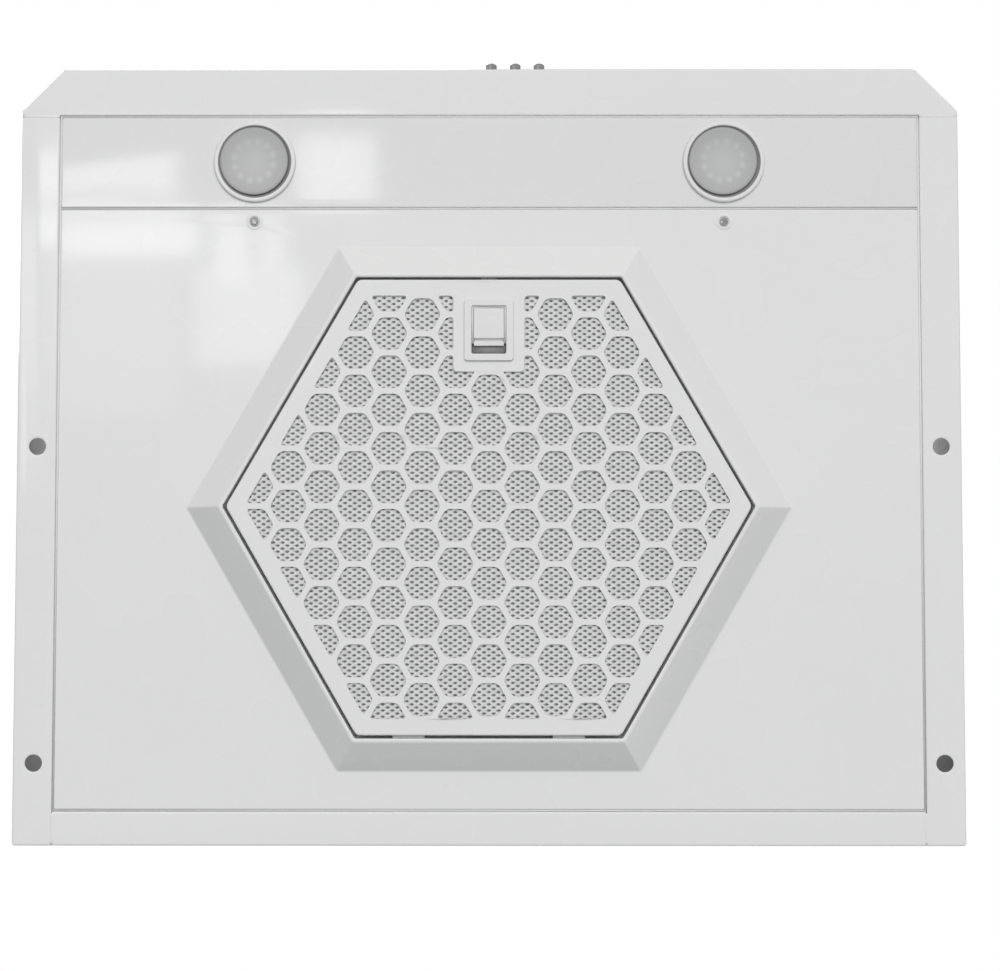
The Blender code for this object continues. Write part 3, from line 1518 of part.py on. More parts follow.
def cable_grommet():
    """A rubber bushing grooved round the roof of the junction box, flush in the top panel's hole."""
    name = "cable_grommet"
    groove = GROMMET_RADIUS - SEAM
    under = 2 * SHEET + 2 * SEAM
    profile = [
        (GROMMET_BRIM, -FLUSH_DEPTH),
        (GROMMET_BRIM, -SHEET),
        (groove, -SHEET),
        (groove, -under),
        (GROMMET_BRIM, -under),
        (GROMMET_BRIM, -under - GROMMET_LIP),
        (GROMMET_BORE, -under - GROMMET_LIP),
        (GROMMET_BORE, -FLUSH_DEPTH),
    ]
    return turned(name, profile, (BOX_X, BOX_Y, 0), moulded(name, (0.03, 0.03, 0.03)), segments=24)


def capacitor():
    name = "capacitor"
    centre = (BOX_X - BOX_WIDTH / 2 - CAN_RADIUS - CAN_GAP, BOX_Y, 0)
    pale = moulded(name, (0.75, 0.75, 0.74))
    return cylinder(name, CAN_RADIUS, -CAN_HEIGHT, -SHEET - SEAM, centre, pale, segments=24)


def lamp_driver():
    """The constant current supply for the lamps, a small flat block behind the light panel."""
    name = "lamp_driver"
    low = BASE + PANEL_SHEET + SEAM
    return box(
        name,
        (-DRIVER_WIDTH / 2, LAMP_Y - DRIVER_DEPTH / 2, low),
        (DRIVER_WIDTH / 2, LAMP_Y + DRIVER_DEPTH / 2, low + DRIVER_HEIGHT),
        moulded(name, (0.86, 0.86, 0.84)),
        bevel=0.001,
    )


def stub(place, heading, length=0.006):
    """The straight start of a wire at a surface: a point just off it and one further out."""
    heading = Vector(heading)
    start = Vector(place) + heading * SLIP
    return [start, start + heading * length]


def wire(name, corners, colour, spacing=0.014):
    return tube(name, smooth_route(corners, spacing), WIRE_RADIUS, moulded(name, colour))


def wires():
    """Harness runs that stay inside the canopy."""
    lamp_top = BASE + LAMP_BARREL + LAMP_HOUSING + SEAM
    driver_z = BASE + PANEL_SHEET + SEAM + DRIVER_HEIGHT / 2
    for word, side in SIDES:
        x = side * LAMP_SPACING / 2
        route = stub((x, LAMP_Y, lamp_top), (0, 0, 1), 0.003)
        route.append(Vector((x - side * 0.010, LAMP_Y, lamp_top + 0.009)))
        route.append(Vector((x - side * 0.040, LAMP_Y, lamp_top)))
        route += stub((side * DRIVER_WIDTH / 2, LAMP_Y, driver_z), (side, 0, 0))[::-1]
        wire("lamp_wire_" + word, route, (0.85, 0.85, 0.83))
    box_front = BOX_Y - BOX_DEPTH / 2
    supply = stub((BOX_X, box_front, -0.022), (0, -1, 0))
    supply.append(Vector((BOX_X - 0.006, (box_front + TOP_FRONT) / 2, -0.030)))
    supply.append(Vector((BOX_X * 0.6, TOP_FRONT - 0.040, -0.060)))
    supply.append(Vector((LAST_BUTTON_X + 0.040, SWITCH_Y + 0.050, BUTTON_Z + 0.016)))
    switch_side = (LAST_BUTTON_X + SWITCH_MARGIN, SWITCH_Y + SWITCH_DEPTH / 2, BUTTON_Z)
    supply += stub(switch_side, (1, 0, 0))[::-1]
    wire("switch_wire", supply, (0.12, 0.12, 0.12))
    scroll_side = (DUCT_RADIUS + OUTLET_MARGIN, WHEEL_Y + 0.050, -0.026)
    feed = stub((BOX_X - 0.020, box_front, -0.034), (0, -1, 0))
    feed.append(Vector((BOX_X * 0.6, box_front - 0.040, -0.032)))
    feed += stub(scroll_side, (1, 0, 0))[::-1]
    wire("motor_wire", feed, (0.10, 0.10, 0.10))


# ---------------------------------------------------------------- assembly


def build_canopy():
    top_panel()
    cut_button_holes(front_shell())
    for word, side in SIDES:
        side_panel(word + "_side_panel", side)
    back_panel()
    rear_outlet_cover()
    outlet_cover_screws()
    light_panel()
    bottom_panel()
    panel_screws()


def build_filter():
    cassette = [filter_face_plate(), filter_mesh_pack(), filter_back_frame(), latch_bezel()]
    pivot = axis_at("filter_pivot", (0, FILTER_REAR, PLATE_Z))
    carry(pivot, *cassette, latch_spring())
    slide = axis_at("latch_slide", (0, LATCH_Y, PLATE_Z))
    carry(slide, latch_slider())
    carry(pivot, slide)


def build_blower():
    blower_housing()
    blower_inlet_plate()
    blower_mount_screws()
    motor()
    axis = axis_at("impeller_axis", (WHEEL_X, WHEEL_Y, WHEEL_TOP))
    carry(axis, impeller(), motor_shaft(), impeller_nut())


def build_duct():
    duct_collar()
    damper_pin()
    hinge = axis_at("damper_hinge", (0, DUCT_Y, DAMPER_RISE))
    carry(hinge, damper_flap("damper_flap_front", -1, 0), damper_flap("damper_flap_rear", 1, 1))


def build_controls():
    for number in range(1, BUTTON_COUNT + 1):
        button(number)
    switch_bank()
    switch_bracket()


def build_electrics():
    for word, side in SIDES:
        lamp(word, side)
    lamp_driver()
    junction_box()
    junction_box_cover()
    cable_grommet()
    capacitor()
    wires()


def shade_round_pieces():
    for obj in PARTS.objects:
        if obj.type == "MESH":
            obj.data.shade_smooth()
            obj.data.set_sharp_from_angle(angle=math.radians(32))


build_canopy()
build_filter()
build_blower()
build_duct()
build_controls()
build_electrics()
shade_round_pieces()
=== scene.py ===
import json
import math

import bmesh
import bpy
import numpy as np
from mathutils import Matrix, Vector


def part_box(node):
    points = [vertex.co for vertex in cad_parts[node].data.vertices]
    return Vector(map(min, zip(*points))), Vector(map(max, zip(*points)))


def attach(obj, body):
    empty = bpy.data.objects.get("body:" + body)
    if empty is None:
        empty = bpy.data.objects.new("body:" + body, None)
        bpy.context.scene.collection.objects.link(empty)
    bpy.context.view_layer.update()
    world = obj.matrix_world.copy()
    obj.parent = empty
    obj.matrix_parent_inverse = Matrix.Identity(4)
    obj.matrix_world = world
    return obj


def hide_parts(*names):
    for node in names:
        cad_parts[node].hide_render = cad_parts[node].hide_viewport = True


MM = 0.001
COS30 = math.cos(math.radians(30))

# Filter
HOLE_PITCH = 24.1 * MM
HOLE_ACROSS = 20.4 * MM
HOLE_ROUNDING = 3.0 * MM
HOLE_BORDER = 10.3 * MM
PAD_MARGIN = 6.8 * MM
TRAY_BEND = 1.2 * MM
TRAY_WALL = 0.8 * MM
TONGUE_WAY = 11 * MM
TONGUE_WINDOW = (4.5 * MM, 7.1 * MM)
TAB_SPREAD = 50 * MM
TAB_WIDTH = 20 * MM
STRAND_LONG_WAY = 6.0 * MM
STRAND_SHORT_WAY = 3.8 * MM
STRAND_THICKNESS = 0.22 * MM
LATCH_CLEARANCE = 1.0 * MM

# Latch
OPENING_HALF = (10.9 * MM, 15.15 * MM)
CASE_WALL = 1.6 * MM
SEAT_HALF = (12.9 * MM, 17.1 * MM)
PADDLE_LEAD = 13.65 * MM
PADDLE_LENGTH = 19.1 * MM

# Lamps
LAMP_BORE = 23.3 * MM
LAMP_BARREL = 24.2 * MM
LENS_RADIUS = 21.2 * MM
CHIP_CIRCLE = 12.8 * MM
CHIP_SPREAD = 1.35 * MM
CHIP_COUNT = 12

# Stage
CAMERA_PLACE = (0.0101, 0.08445, -1.33)
CAMERA_TURN = {"X": 0.0532, "Y": -0.0026, "Z": -0.0002}
CAMERA_LENS = 68.22
FLOOR_REACH = 14.0
FLOOR_HEIGHT = -2.1
PANE_HEIGHT = -1.45

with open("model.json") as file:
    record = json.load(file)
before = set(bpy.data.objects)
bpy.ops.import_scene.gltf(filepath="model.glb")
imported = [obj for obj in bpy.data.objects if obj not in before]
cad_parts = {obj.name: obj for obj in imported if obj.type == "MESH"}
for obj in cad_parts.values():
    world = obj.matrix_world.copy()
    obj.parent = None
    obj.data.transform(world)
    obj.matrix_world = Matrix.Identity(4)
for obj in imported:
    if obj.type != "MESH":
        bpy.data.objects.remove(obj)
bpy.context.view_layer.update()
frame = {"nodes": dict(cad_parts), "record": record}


# ---------------------------------------------------------------- finishes


class Finish:
    """A node material in the making. Its patterns are laid out in the hood's own space, in metres."""

    def __init__(self, name, settings):
        self.material = bpy.data.materials.new(name)
        self.material.use_nodes = True
        self.nodes = self.material.node_tree.nodes
        self.links = self.material.node_tree.links
        self.shader = self.nodes["Principled BSDF"]
        self.place = self.nodes.new("ShaderNodeTexCoord").outputs["Object"]
        self.normal = None
        for socket, value in settings.items():
            self.shader.inputs[socket].default_value = value

    def stretched(self, stretch):
        mapping = self.nodes.new("ShaderNodeMapping")
        mapping.inputs["Scale"].default_value = stretch
        self.links.new(self.place, mapping.inputs["Vector"])
        return mapping.outputs["Vector"]

    def noise(self, scale, detail, stretch=(1, 1, 1)):
        node = self.nodes.new("ShaderNodeTexNoise")
        node.inputs["Scale"].default_value = scale
        node.inputs["Detail"].default_value = detail
        self.links.new(self.stretched(stretch), node.inputs["Vector"])
        return node.outputs["Fac"]

    def cells(self, scale, stretch=(1, 1, 1)):
        node = self.nodes.new("ShaderNodeTexVoronoi")
        node.inputs["Scale"].default_value = scale
        self.links.new(self.stretched(stretch), node.inputs["Vector"])
        return node.outputs["Distance"]

    def band(self, source, start, end, low=0.0, high=1.0):
        node = self.nodes.new("ShaderNodeMapRange")
        node.interpolation_type = "SMOOTHSTEP"
        self.links.new(source, node.inputs["Value"])
        node.inputs["From Min"].default_value = start
        node.inputs["From Max"].default_value = end
        node.inputs["To Min"].default_value = low
        node.inputs["To Max"].default_value = high
        return node.outputs["Result"]

    def blend(self, share, first, second):
        node = self.nodes.new("ShaderNodeMix")
        node.data_type = "RGBA"
        self.links.new(share, node.inputs["Factor"])
        for socket, value in ((node.inputs["A"], first), (node.inputs["B"], second)):
            if isinstance(value, tuple):
                socket.default_value = (*value, 1)
            else:
                self.links.new(value, socket)
        return node.outputs["Result"]

    def colour(self, source):
        self.links.new(source, self.shader.inputs["Base Color"])

    def roughness(self, source):
        self.links.new(source, self.shader.inputs["Roughness"])

    def relief(self, source, height):
        node = self.nodes.new("ShaderNodeBump")
        node.inputs["Distance"].default_value = height
        self.links.new(source, node.inputs["Height"])
        if self.normal:
            self.links.new(self.normal, node.inputs["Normal"])
        self.normal = node.outputs["Normal"]
        self.links.new(self.normal, self.shader.inputs["Normal"])


def white_enamel(name="white_enamel", shade=1.0):
    """Gloss baked enamel on pressed sheet: a long soft wave in it and a fine orange peel."""
    settings = {"Coat Weight": 1.0, "Coat Roughness": 0.075, "Specular IOR Level": 0.25, "IOR": 1.5}
    made = Finish(name, settings)
    first = tuple(shade * c for c in (0.800, 0.800, 0.797))
    second = tuple(shade * c for c in (0.822, 0.822, 0.820))
    made.colour(made.blend(made.noise(5, 3), first, second))
    made.roughness(made.band(made.noise(20, 2), 0.3, 0.7, 0.24, 0.32))
    made.relief(made.noise(12, 1), 0.00038)
    made.relief(made.noise(48, 1), 0.00003)
    made.relief(made.noise(420, 2), 0.000009)
    return made.material


def galvanised_sheet():
    """Zinc coated sheet with its spangle."""
    made = Finish("galvanised_sheet", {"Metallic": 0.85})
    flake = made.band(made.cells(75), 0.0, 0.7)
    spangle = made.blend(flake, (0.56, 0.57, 0.58), (0.68, 0.69, 0.70))
    stain = made.band(made.noise(9, 4), 0.35, 0.75)
    made.colour(made.blend(stain, spangle, (0.50, 0.51, 0.52)))
    made.roughness(made.band(made.noise(60, 4), 0.3, 0.7, 0.32, 0.52))
    made.relief(made.cells(75), 0.00002)
    made.relief(made.noise(900, 2), 0.000006)
    return made.material


def filter_aluminium():
    """Slit and stretched aluminium foil, bright on its edges and dull with use."""
    made = Finish("filter_aluminium", {"Metallic": 0.25})
    dull = made.band(made.noise(240, 3), 0.35, 0.7)
    made.colour(made.blend(dull, (0.92, 0.92, 0.915), (0.82, 0.82, 0.82)))
    made.roughness(made.band(made.noise(500, 2), 0.3, 0.7, 0.24, 0.46))
    made.relief(made.noise(2600, 2), 0.00002)
    return made.material


def second_sheet_painted_shade():
    """The second sheet: the same foil as the first, painted a little dimmer as shade from the sheet in front
    of it.
    """
    made = Finish("second_sheet_painted_shade", {"Metallic": 0.25})
    made.colour(made.blend(made.noise(240, 3), *greys(0.62, 0.48)))
    made.roughness(made.band(made.noise(500, 2), 0.3, 0.7, 0.30, 0.50))
    made.relief(made.noise(2600, 2), 0.00002)
    return made.material


def shaded_aluminium():
    """The deeper sheets of the pack, dim between the strands in front of them."""
    made = Finish("shaded_aluminium", {"Metallic": 0.3})
    strand = made.band(made.cells(300, (1, 1.6, 1)), 0.15, 0.6)
    made.colour(made.blend(strand, *greys(0.50, 0.32)))
    made.roughness(made.band(made.noise(400, 2), 0.3, 0.7, 0.4, 0.6))
    made.relief(made.cells(300, (1, 1.6, 1)), 0.0004)
    return made.material


def moulded(name, light, dark, shine, grain=0.00001):
    """Injection moulded plastic with a fine spark-eroded grain."""
    made = Finish(name, {"IOR": 1.49})
    made.colour(made.blend(made.noise(30, 3), light, dark))
    made.roughness(made.band(made.noise(90, 3), 0.3, 0.7, *shine))
    made.relief(made.noise(1500, 2), grain)
    return made.material


def bright_metal(name, light, dark, shine, brushed=(1, 1, 1)):
    """Plated or drawn metal with fine tool lines."""
    made = Finish(name, {"Metallic": 1.0})
    made.colour(made.blend(made.noise(160, 3, stretch=brushed), light, dark))
    made.roughness(made.band(made.noise(700, 2, stretch=brushed), 0.3, 0.7, *shine))
    made.relief(made.noise(2400, 2, stretch=brushed), 0.000008)
    return made.material


def frosted_lens():
    """A frosted diffuser; the pale spots of the chips behind it, with painted shade towards its edge and its
    front, are stored on its points.
    """
    made = Finish("frosted_lens", {"IOR": 1.5, "Coat Weight": 0.15, "Coat Roughness": 0.2})
    stored = made.nodes.new("ShaderNodeAttribute")
    stored.attribute_name = "chip_spots_and_painted_shading"
    grain = made.blend(made.noise(900, 3), (0.40, 0.40, 0.405), (0.44, 0.44, 0.445))
    # Where the stored tone is high the lens is paler: the chips' spots, with painted light and shade.
    made.colour(made.blend(stored.outputs["Fac"], grain, (0.66, 0.66, 0.66)))
    made.roughness(made.band(made.noise(500, 2), 0.3, 0.7, 0.38, 0.52))
    made.relief(made.noise(1800, 2), 0.00002)
    return made.material


def painted_shade_grey():
    """Moulded plastic painted grey as shade: the edge that seats the diffuser, whose inner wall lies in
    shadow, and the floor of the latch's finger pocket.
    """
    made = Finish("painted_shade_grey", {"IOR": 1.5})
    made.colour(made.blend(made.noise(160, 3), (0.30, 0.30, 0.305), (0.25, 0.25, 0.255)))
    made.roughness(made.band(made.noise(300, 2), 0.3, 0.7, 0.30, 0.45))
    made.relief(made.noise(1500, 2), 0.00001)
    return made.material


def led_board():
    """White solder mask with pale chips."""
    made = Finish("led_board", {"IOR": 1.5})
    made.colour(made.blend(made.noise(200, 3), (0.84, 0.84, 0.82), (0.76, 0.76, 0.73)))
    made.roughness(made.band(made.noise(300, 2), 0.3, 0.7, 0.35, 0.5))
    made.relief(made.noise(1200, 2), 0.00001)
    return made.material


def greys(first, second):
    """Two neutral colours of these values."""
    return (first,) * 3, (second,) * 3


def finishes():
    """One material for each of the record's slots, and those that only pieces here use."""
    return {
        # The light panel's copy of the same white enamel is painted 4.5% darker: painted shade.
        "light_panel_shaded_enamel": white_enamel("light_panel_shaded_enamel", 0.955),
        "painted_shade_grey": painted_shade_grey(),
        "gap_foam": moulded("gap_foam", *greys(0.82, 0.74), (0.8, 0.95), 0.00005),
        "white_enamel": white_enamel(),
        "galvanised_sheet": galvanised_sheet(),
        "filter_aluminium": filter_aluminium(),
        "white_plastic": moulded(
            "white_plastic", (0.80, 0.80, 0.795), (0.77, 0.77, 0.765), (0.16, 0.28), 0.000006
        ),
        "frosted_lens": frosted_lens(),
        "led_board": led_board(),
        "screw_steel": bright_metal("screw_steel", (0.80, 0.80, 0.81), (0.66, 0.66, 0.67), (0.18, 0.34)),
        "spring_steel": bright_metal(
            "spring_steel", (0.60, 0.60, 0.61), (0.48, 0.48, 0.49), (0.25, 0.4), (1, 6, 6)
        ),
        "button_metal": bright_metal(
            "button_metal", (0.66, 0.66, 0.68), (0.54, 0.54, 0.56), (0.30, 0.44), (5, 1, 5)
        ),
        "black_plastic": moulded(
            "black_plastic", (0.045, 0.045, 0.047), (0.065, 0.065, 0.067), (0.42, 0.60), 0.00002
        ),
        "wheel_metal": bright_metal(
            "wheel_metal", (0.62, 0.63, 0.64), (0.50, 0.51, 0.52), (0.30, 0.48), (1, 1, 4)
        ),
        "motor_case": moulded("motor_case", (0.30, 0.31, 0.32), (0.24, 0.25, 0.26), (0.30, 0.46), 0.00003),
        "rubber_bush": moulded(
            "rubber_bush", (0.030, 0.030, 0.031), (0.045, 0.045, 0.046), (0.60, 0.80), 0.00004
        ),
        "wire_cover": moulded("wire_cover", (0.11, 0.11, 0.115), (0.15, 0.15, 0.155), (0.40, 0.55), 0.00002),
        "can_plastic": moulded("can_plastic", (0.76, 0.76, 0.75), (0.70, 0.70, 0.685), (0.36, 0.5), 0.00002),
    }


# ---------------------------------------------------------------- building


def piece(name, mesh, body, slot_name, material=None, stands_for=()):
    """Adds a mesh in the hood's space, riding on a body, with the finish of one of the record's slots."""
    obj = bpy.data.objects.new(name, mesh)
    bpy.context.scene.collection.objects.link(obj)
    mesh.materials.clear()
    mesh.materials.append(material or FINISHES[slot_name])
    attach(obj, body)
    if stands_for:
        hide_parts(*stands_for)
    return obj


def smoothed(mesh):
    mesh.polygons.foreach_set("use_smooth", [True] * len(mesh.polygons))
    return mesh


def mesh_of(name, points, faces):
    mesh = bpy.data.meshes.new(name)
    mesh.from_pydata([tuple(p) for p in points], [], [tuple(f) for f in faces])
    smoothed(mesh)
    mesh.update()
    return mesh


def soften(obj, width, segments=2, angle=35):
    """Rounds the hard edges and keeps the broad faces flat."""
    bevel = obj.modifiers.new("soft_edges", "BEVEL")
    bevel.width = width
    bevel.segments = segments
    bevel.limit_method = "ANGLE"
    bevel.angle_limit = math.radians(angle)
    obj.modifiers.new("even_shading", "WEIGHTED_NORMAL").keep_sharp = True
    return obj


def turned(profile, segments=96, closed=False):
    """Points and faces of a profile of (radius, height) turned about Z."""
    points, faces = [], []
    for i in range(segments):
        angle = 2 * math.pi * i / segments
        points += [(r * math.cos(angle), r * math.sin(angle), h) for r, h in profile]
    count = len(profile)
    for i in range(segments):
        here, there = i * count, (i + 1) % segments * count
        for j in range(count if closed else count - 1):
            k = (j + 1) % count
            faces.append((here + j, there + j, there + k, here + k))
    return points, faces


def turned_mesh(name, profile, matrix, segments=96, closed=False):
    """A turned mesh with its poles merged and its faces outward."""
    points, faces = turned(profile, segments, closed)
    mesh = mesh_of(name, points, faces)
    bm = bmesh.new()
    bm.from_mesh(mesh)
    bmesh.ops.remove_doubles(bm, verts=bm.verts, dist=1e-7)
    bmesh.ops.recalc_face_normals(bm, faces=bm.faces)
    bm.to_mesh(mesh)
    bm.free()
    mesh.transform(matrix)
    return mesh


def arc(centre, radius, start, end, steps):
    """Points of (radius, height) along an arc, angles in degrees from outward."""
    found = []
    for i in range(steps + 1):
        angle = math.radians(start + (end - start) * i / steps)
        found.append((centre[0] + radius * math.cos(angle), centre[1] + radius * math.sin(angle)))
    return found


def centre_of(node):
    low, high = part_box(node)
    return (low + high) / 2


def hexagon(flats, x=0.0, y=0.0):
    radius = flats / 2 / COS30
    return [
        (x + radius * math.cos(math.radians(60 * i)), y + radius * math.sin(math.radians(60 * i)))
        for i in range(6)
    ]


def rounded(outline, radius, steps=4):
    """An outline with each corner turned into a short curve, inward corners too."""
    made = []
    for i, corner in enumerate(outline):
        corner = Vector(corner)
        before = Vector(outline[i - 1]) - corner
        after = Vector(outline[(i + 1) % len(outline)]) - corner
        cut = min(radius, before.length * 0.45, after.length * 0.45)
        start, end = corner + before.normalized() * cut, corner + after.normalized() * cut
        for k in range(steps + 1):
            t = k / steps
            made.append(tuple(start * (1 - t) ** 2 + corner * (2 * t * (1 - t)) + end * t**2))
    return made


def filled(outlines, z):
    """A flat mesh at a height, bounded by the first outline, with the others as its holes."""
    curve = bpy.data.curves.new("outline", "CURVE")
    curve.dimensions = "2D"
    curve.fill_mode = "BOTH"
    for outline in outlines:
        spline = curve.splines.new("POLY")
        spline.points.add(len(outline) - 1)
        for point, (u, v) in zip(spline.points, outline):
            point.co = (u, v, 0, 1)
        spline.use_cyclic_u = True
    holder = bpy.data.objects.new("outline", curve)
    bpy.context.scene.collection.objects.link(holder)
    graph = bpy.context.evaluated_depsgraph_get()
    mesh = bpy.data.meshes.new_from_object(holder.evaluated_get(graph))
    bpy.data.objects.remove(holder)
    mesh.transform(Matrix.Translation((0, 0, z)))
    return mesh


def block_mesh(name, low, high):
    bm = bmesh.new()
    bmesh.ops.create_cube(bm, size=1.0)
    size = Vector(high) - Vector(low)
    bmesh.ops.scale(bm, vec=size, verts=bm.verts)
    bmesh.ops.translate(bm, vec=(Vector(high) + Vector(low)) / 2, verts=bm.verts)
    mesh = bpy.data.meshes.new(name)
    bm.to_mesh(mesh)
    bm.free()
    return smoothed(mesh)


def prism_mesh(name, outline, low, high, axis="Z"):
    """A closed prism over an outline. Along X the outline is (y, z), along Z it is (x, y)."""
    bm = bmesh.new()
    rings = []
    for height in (low, high):
        if axis == "X":
            rings.append([bm.verts.new((height, u, v)) for u, v in outline])
        else:
            rings.append([bm.verts.new((u, v, height)) for u, v in outline])
    for ring in rings:
        bm.faces.new(ring)
    for i in range(len(outline)):
        k = (i + 1) % len(outline)
        bm.faces.new((rings[0][i], rings[0][k], rings[1][k], rings[1][i]))
    bmesh.ops.recalc_face_normals(bm, faces=bm.faces)
    mesh = bpy.data.meshes.new(name)
    bm.to_mesh(mesh)
    bm.free()
    return smoothed(mesh)


def cut(mesh, cutters):
    """A mesh with the solids of other meshes taken out of it."""
    holder = bpy.data.objects.new("cut_holder", mesh)
    bpy.context.scene.collection.objects.link(holder)
    tools = []
    for cutter in cutters:
        tool = bpy.data.objects.new("cutter", cutter)
        bpy.context.scene.collection.objects.link(tool)
        modifier = holder.modifiers.new("cut", "BOOLEAN")
        modifier.solver = "EXACT"
        modifier.operation = "DIFFERENCE"
        modifier.object = tool
        tools.append(tool)
    graph = bpy.context.evaluated_depsgraph_get()
    made = bpy.data.meshes.new_from_object(holder.evaluated_get(graph))
    for obj in [holder, *tools]:
        bpy.data.objects.remove(obj)
    return smoothed(made)


# ---------------------------------------------------------------- filter


def filter_places():
    """The filter's sizes, read from its CAD nodes."""
    low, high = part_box("filter_face_plate")
    bezel_low, bezel_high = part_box("latch_bezel")
    flats = (high.x - low.x) * COS30
    return {
        "flats": flats,
        "y": low.y + flats / 2,
        "front": low.y,
        "rear": low.y + flats,
        "low": low.z,
        "high": high.z,
        "reach": high.y,
        "bezel": (bezel_low, bezel_high),
    }


def inside_border(outline, flats, y):
    """The part of a hole inside the border, a hexagon of this size."""
    for i in range(6):
        angle = math.radians(30 + 60 * i)
        normal = Vector((math.cos(angle), math.sin(angle)))
        limit = flats / 2 + normal.y * y
        kept = []
        for start, end in zip(outline, outline[1:] + outline[:1]):
            a, b = Vector(start).dot(normal) - limit, Vector(end).dot(normal) - limit
            if a <= 0:
                kept.append(start)
            if a * b < 0:
                kept.append(tuple(Vector(start).lerp(Vector(end), a / (a - b))))
        outline = kept
    return outline


def depth_in_pad(place, pad):
    """How far a place is inside the solid pad round the latch."""
    return min(pad[0] - abs(place[0]), pad[1] - place[1])


def outside_pad(outline, pad):
    """The part of a hole outside the pad. A hole that takes in a corner of the pad becomes an L."""
    corners = [(side * pad[0], pad[1]) for side in (-1, 1)]
    kept = []
    for start, end in zip(outline, outline[1:] + outline[:1]):
        inside = depth_in_pad(start, pad) > 0
        if not inside:
            kept.append(start)
        if inside != (depth_in_pad(end, pad) > 0):
            low, high = 0.0, 1.0
            for _ in range(40):
                share = (low + high) / 2
                if (depth_in_pad(Vector(start).lerp(Vector(end), share), pad) > 0) == inside:
                    low = share
                else:
                    high = share
            kept.append(tuple(Vector(start).lerp(Vector(end), low)))
            if not inside:
                kept += [corner for corner in corners if holds(outline, corner)]
    return kept


def holds(outline, place):
    """Whether a convex outline, counterclockwise, holds a place."""
    for (ax, ay), (bx, by) in zip(outline, outline[1:] + outline[:1]):
        if (ax - place[0]) * (by - place[1]) - (bx - place[0]) * (ay - place[1]) <= 0:
            return False
    return True


def area_of(outline):
    following = outline[1:] + outline[:1]
    return abs(sum(ax * by - bx * ay for (ax, ay), (bx, by) in zip(outline, following))) / 2


def honeycomb(at):
    """The filter plate's holes, with pressed round corners."""
    flats = at["flats"] - 2 * HOLE_BORDER
    bezel_high = at["bezel"][1]
    pad = (bezel_high.x + PAD_MARGIN, bezel_high.y + PAD_MARGIN)
    holes = []
    for column in range(-8, 9):
        for row in range(-8, 9):
            x = column * HOLE_PITCH * COS30
            y = at["y"] + (row + (column % 2) / 2) * HOLE_PITCH
            outline = hexagon(HOLE_ACROSS, x, y)
            if min(depth_in_pad(place, pad) for place in outline) > 0:
                continue
            outline = inside_border(outline, flats, at["y"])
            if len(outline) > 2:
                outline = outside_pad(outline, pad)
            if len(outline) > 2 and area_of(outline) > 0.12 * HOLE_ACROSS**2:
                holes.append(rounded(outline, HOLE_ROUNDING))
    return holes


def tray_loop(at, inset, z):
    """The tray's outline at one height, with two points where the tongue's way starts and ends."""
    ring = rounded(hexagon(at["flats"] - 2 * inset, 0, at["y"]), 3 * MM, 5)
    ring = [Vector((x, y, z)) for x, y in ring]
    front = at["y"] - at["flats"] / 2 + inset
    for i, point in enumerate(ring):
        following = ring[(i + 1) % len(ring)]
        on_front = abs(point.y - front) < 1e-6 and abs(following.y - front) < 1e-6
        if on_front and following.x - point.x > TONGUE_WAY:
            extra = [Vector((side * TONGUE_WAY / 2, front, z)) for side in (-1, 1)]
            return ring[: i + 1] + extra + ring[i + 1 :], i + 1
    return ring, None


def tray_walls(at):
    """The fold and the six walls, open where the tongue passes, with the points of the face's edge."""
    levels = []
    for i in range(5):
        angle = math.radians(90 * i / 4)
        levels.append((TRAY_BEND * (1 - math.sin(angle)), at["low"] + TRAY_BEND * (1 - math.cos(angle))))
    window = [at["low"] + height for height in TONGUE_WINDOW]
    levels += [(0, window[0]), (0, window[1]), (0, at["high"])]
    loops = [tray_loop(at, inset, z) for inset, z in levels]
    start = loops[0][1]
    count = len(loops[0][0])
    points = [p for ring, _ in loops for p in ring]
    faces = []
    for j in range(len(loops) - 1):
        for i in range(count):
            if i == start and levels[j][1] == window[0]:
                continue
            k = (i + 1) % count
            faces.append((j * count + i, j * count + k, (j + 1) * count + k, (j + 1) * count + i))
    return mesh_of("tray_walls", points, faces), [(p.x, p.y) for p in loops[0][0]]


def face_plate(at):
    """The pressed tray: a pierced face, a rounded fold and six walls."""
    walls, edge = tray_walls(at)
    middle = centre_of("latch_bezel").y
    half_x, half_y = SEAT_HALF
    seat = rounded_box((-half_x, middle - half_y), (half_x, middle + half_y), 1.2 * MM)
    face = filled([edge, *honeycomb(at), seat], at["low"])
    bm = bmesh.new()
    bm.from_mesh(walls)
    bm.from_mesh(face)
    bmesh.ops.remove_doubles(bm, verts=bm.verts, dist=2e-6)
    bmesh.ops.recalc_face_normals(bm, faces=bm.faces)
    bm.normal_update()
    broad = max(bm.faces, key=lambda f: f.calc_area())
    if broad.normal.z > 0:
        bmesh.ops.reverse_faces(bm, faces=bm.faces)
    mesh = bpy.data.meshes.new("filter_face")
    bm.to_mesh(mesh)
    bm.free()
    name = "grease_filter_face"
    obj = piece(name, smoothed(mesh), "filter", "white_enamel", stands_for=["filter_face_plate"])
    solid = obj.modifiers.new("sheet", "SOLIDIFY")
    solid.thickness = TRAY_WALL
    solid.offset = -1
    soften(obj, 0.14 * MM, 2, 50)


